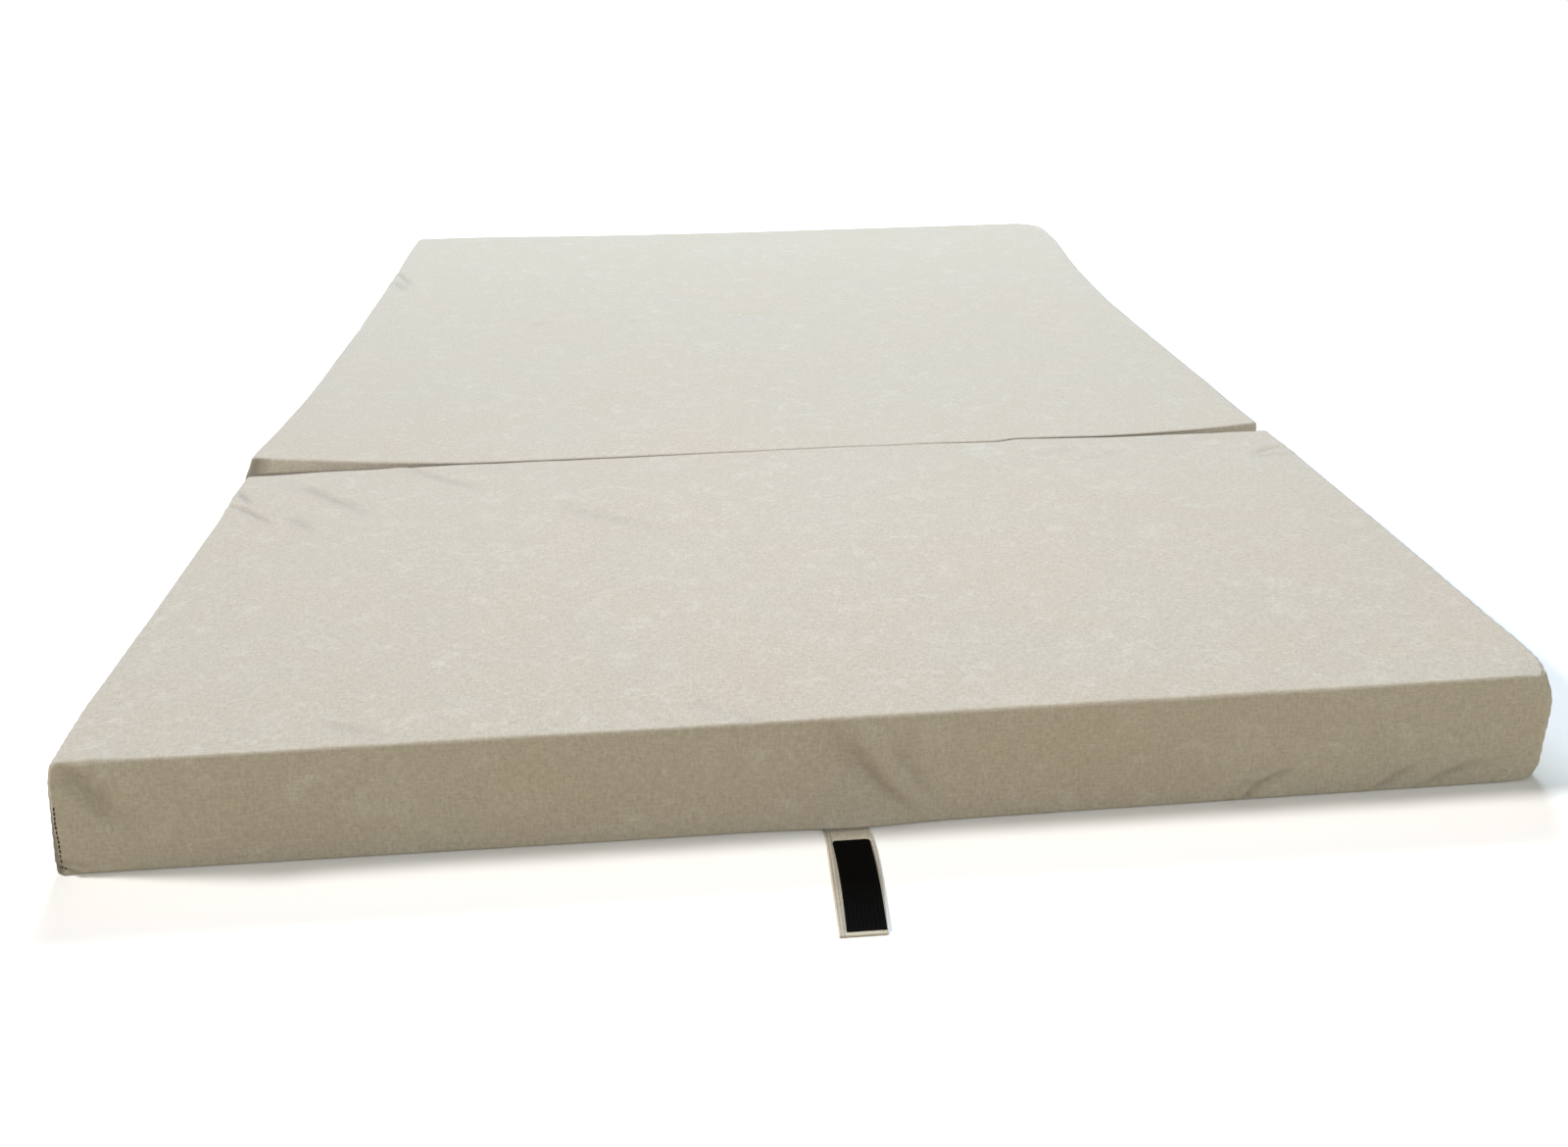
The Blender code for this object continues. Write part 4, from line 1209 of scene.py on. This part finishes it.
# The rows of the strap's root: where the first starts and ends, and how far each next one moves
ROOT_START, ROOT_START_STEP = Vector((0.0190, -1.006, 0.0128)), Vector((0.0030, 0, 0.0022))
ROOT_END, ROOT_END_STEP = Vector((0.0330, -1.006, 0.0136)), Vector((0.0022, 0, 0.0022))

for section in FORMS:
    low, high = cover_box(section)
    centre = (low.y + high.y) / 2
    half_row = ZIP_LENGTH / 2 + ZIP_STITCH_PAST
    for side, up in (("upper", 1), ("lower", -1)):
        z = ZIP_HEIGHT + up * (SLIT_HALF + ZIP_STITCH_OFF)
        route = [(wall_x(centre + step), centre + step, z) for step in np.linspace(-half_row, half_row, 60)]
        stitches(f"{section}_zip_stitches_{side}", route, ZIP_STITCH, section)
stitches("corner_seam_stitches", SEAM_ROUTE, SEAM_STITCH, "near")
for row in range(3):
    route = [ROOT_START + row * ROOT_START_STEP, ROOT_END + row * ROOT_END_STEP]
    stitches(f"strap_root_thread_{row + 1}", route, ROOT_STITCH, "near")
for side, across in (("left", HEM_STITCH), ("right", STRAP_WIDE - HEM_STITCH)):
    route = []
    for along in np.linspace(0.002, STRAP_LONG - HEM_STITCH, 24):
        x = STRAP_LOW.x + across + strap_shift(across, along)
        route.append((x, STRAP_HIGH.y - along, STRAP_STITCH_Z))
    stitches(f"strap_stitches_{side}", route, STRAP_STITCH)
ends = (STRAP_LOW.x + HEM_STITCH - STRAP_SKEW, STRAP_HIGH.x - HEM_STITCH - STRAP_SKEW)
stitches("strap_stitches_end", [(x, STRAP_LOW.y + HEM_STITCH, STRAP_STITCH_Z) for x in ends], STRAP_STITCH)

# %% [markdown]
# ## Floor, light and camera
# The picture has a white ground with a soft shadow close round the mattress. Here the floor is a
# plain sheet. What the camera sees of it is lifted by a second share of diffuse light, so that it
# turns white while its shadows stay soft and pale. Other rays see it as a warm mid grey, so that it
# doesn't throw more light on the walls than a real floor. A wide sun from the left lights the top,
# a very soft one from the front right fills the walls, a cool window stands behind the mattress, a
# weak lamp hangs over its near end, and a dim sky fills the rest.

# %% Floor
FLOOR_SIZE, FLOOR_Z = 8.0, -0.0003
FLOOR_SEEN, FLOOR_FELT = ((0.92, 0.96, 1.0, 1.0), (0.61, 0.62, 0.69, 1.0)), linear("bfae8c")
floor_material, add = new_material("matt floor, white")
seen = add("LightPath", output="Is Camera Ray")
for kind in ("Is Glossy Ray", "Is Transmission Ray"):
    seen = add("Math", {0: seen, 1: add("LightPath", output=kind)}, operation="MAXIMUM")
felt = add("BsdfDiffuse", {"Color": FLOOR_FELT})
both = add("AddShader", {at: add("BsdfDiffuse", {"Color": colour}) for at, colour in enumerate(FLOOR_SEEN)})
add("OutputMaterial", {"Surface": add("MixShader", {0: seen, 1: felt, 2: both})})
bm = bmesh.new()
bmesh.ops.create_grid(bm, x_segments=1, y_segments=1, size=FLOOR_SIZE / 2)
bmesh.ops.translate(bm, vec=(0, 0, FLOOR_Z), verts=bm.verts)
floor_mesh = bpy.data.meshes.new("floor")
bm.to_mesh(floor_mesh)
bm.free()
floor_mesh.materials.append(floor_material)
put("floor", floor_mesh)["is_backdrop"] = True
print("floor", FLOOR_SIZE, "m")

# %% Sky and lamps
SKY, SUN, FILL, WINDOW, ABOVE = 0.10, 2.03, 1.22, 196.0, 0.7
WINDOW_PLACE, ABOVE_PLACE = Vector((0.4, 3.4, 3.6)), Vector((0.0, -0.70, 0.95))
world = bpy.data.worlds.new("soft sky")
bpy.context.scene.world = world
world.use_nodes = True
add = node_adder(world.node_tree)
sky = add("Background", {"Color": linear("fff6e7"), "Strength": SKY})
backdrop = add("Background", {"Color": (1.0, 1.0, 1.0, 1.0), "Strength": 1.0})
chosen = add("MixShader", {0: add("LightPath", output="Is Camera Ray"), 1: sky, 2: backdrop})
add("OutputWorld", {"Surface": chosen})


def lamp(name, kind, code, energy, toward, place=(0, 0, 0), **settings):
    """A lamp that shines from the direction that it is given, unseen by the camera."""
    data = bpy.data.lights.new(name, kind)
    data.energy = energy
    data.color = linear(code)[:3]
    for setting, value in settings.items():
        setattr(data, setting, value)
    light = put(name, data)
    light.location = place
    light.visible_camera = False
    light.rotation_euler = Vector(toward).to_track_quat("Z", "Y").to_euler()


lamp("lamp from the left", "SUN", "fff7eb", SUN, (-1.36, 0.22, 1.0), angle=math.radians(9))
lamp("fill from the room", "SUN", "fbfff6", FILL, (0.60, -1.0, 0.24), angle=math.radians(70))
lamp("window behind", "AREA", "e4f2f9", WINDOW, WINDOW_PLACE, WINDOW_PLACE,
     shape="RECTANGLE", size=3.5, size_y=2.2)
lamp("lamp above the near end", "AREA", "f6eeff", ABOVE, (0, 0, 1), ABOVE_PLACE,
     shape="RECTANGLE", size=0.5, size_y=0.5)

# %% Camera
# Found by fitting the mattress's corners in the picture to the sizes of the frame
CAMERA_PLACE = Vector((-0.0980, -2.0981, 0.7000))
CAMERA_AIM = Vector((0.08418, 0.922465, -0.376792))
CAMERA_ROLL = -0.836
camera_data = bpy.data.cameras.new("camera")
camera_data.sensor_width = 36.0
camera_data.lens = 36.155
camera_data.shift_x = -0.02775
camera_data.shift_y = -0.02101
camera_data.clip_end = 200.0
camera = put("camera", camera_data)
aim = CAMERA_AIM.to_track_quat("-Z", "Y").to_matrix().to_4x4()
roll = Matrix.Rotation(math.radians(CAMERA_ROLL), 4, "Z")
camera.matrix_world = Matrix.Translation(CAMERA_PLACE) @ aim @ roll
bpy.context.scene.camera = camera
bpy.context.scene.view_settings.view_transform = "Standard"

# %% Sizes, and the end
seen_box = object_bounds()
boxes = {"cad": FRAME_BOX, "visual": seen_box}
{name: [list(corner) for corner in box] for name, box in boxes.items()}
print("box seen", [tuple(round(v, 4) for v in corner) for corner in seen_box])
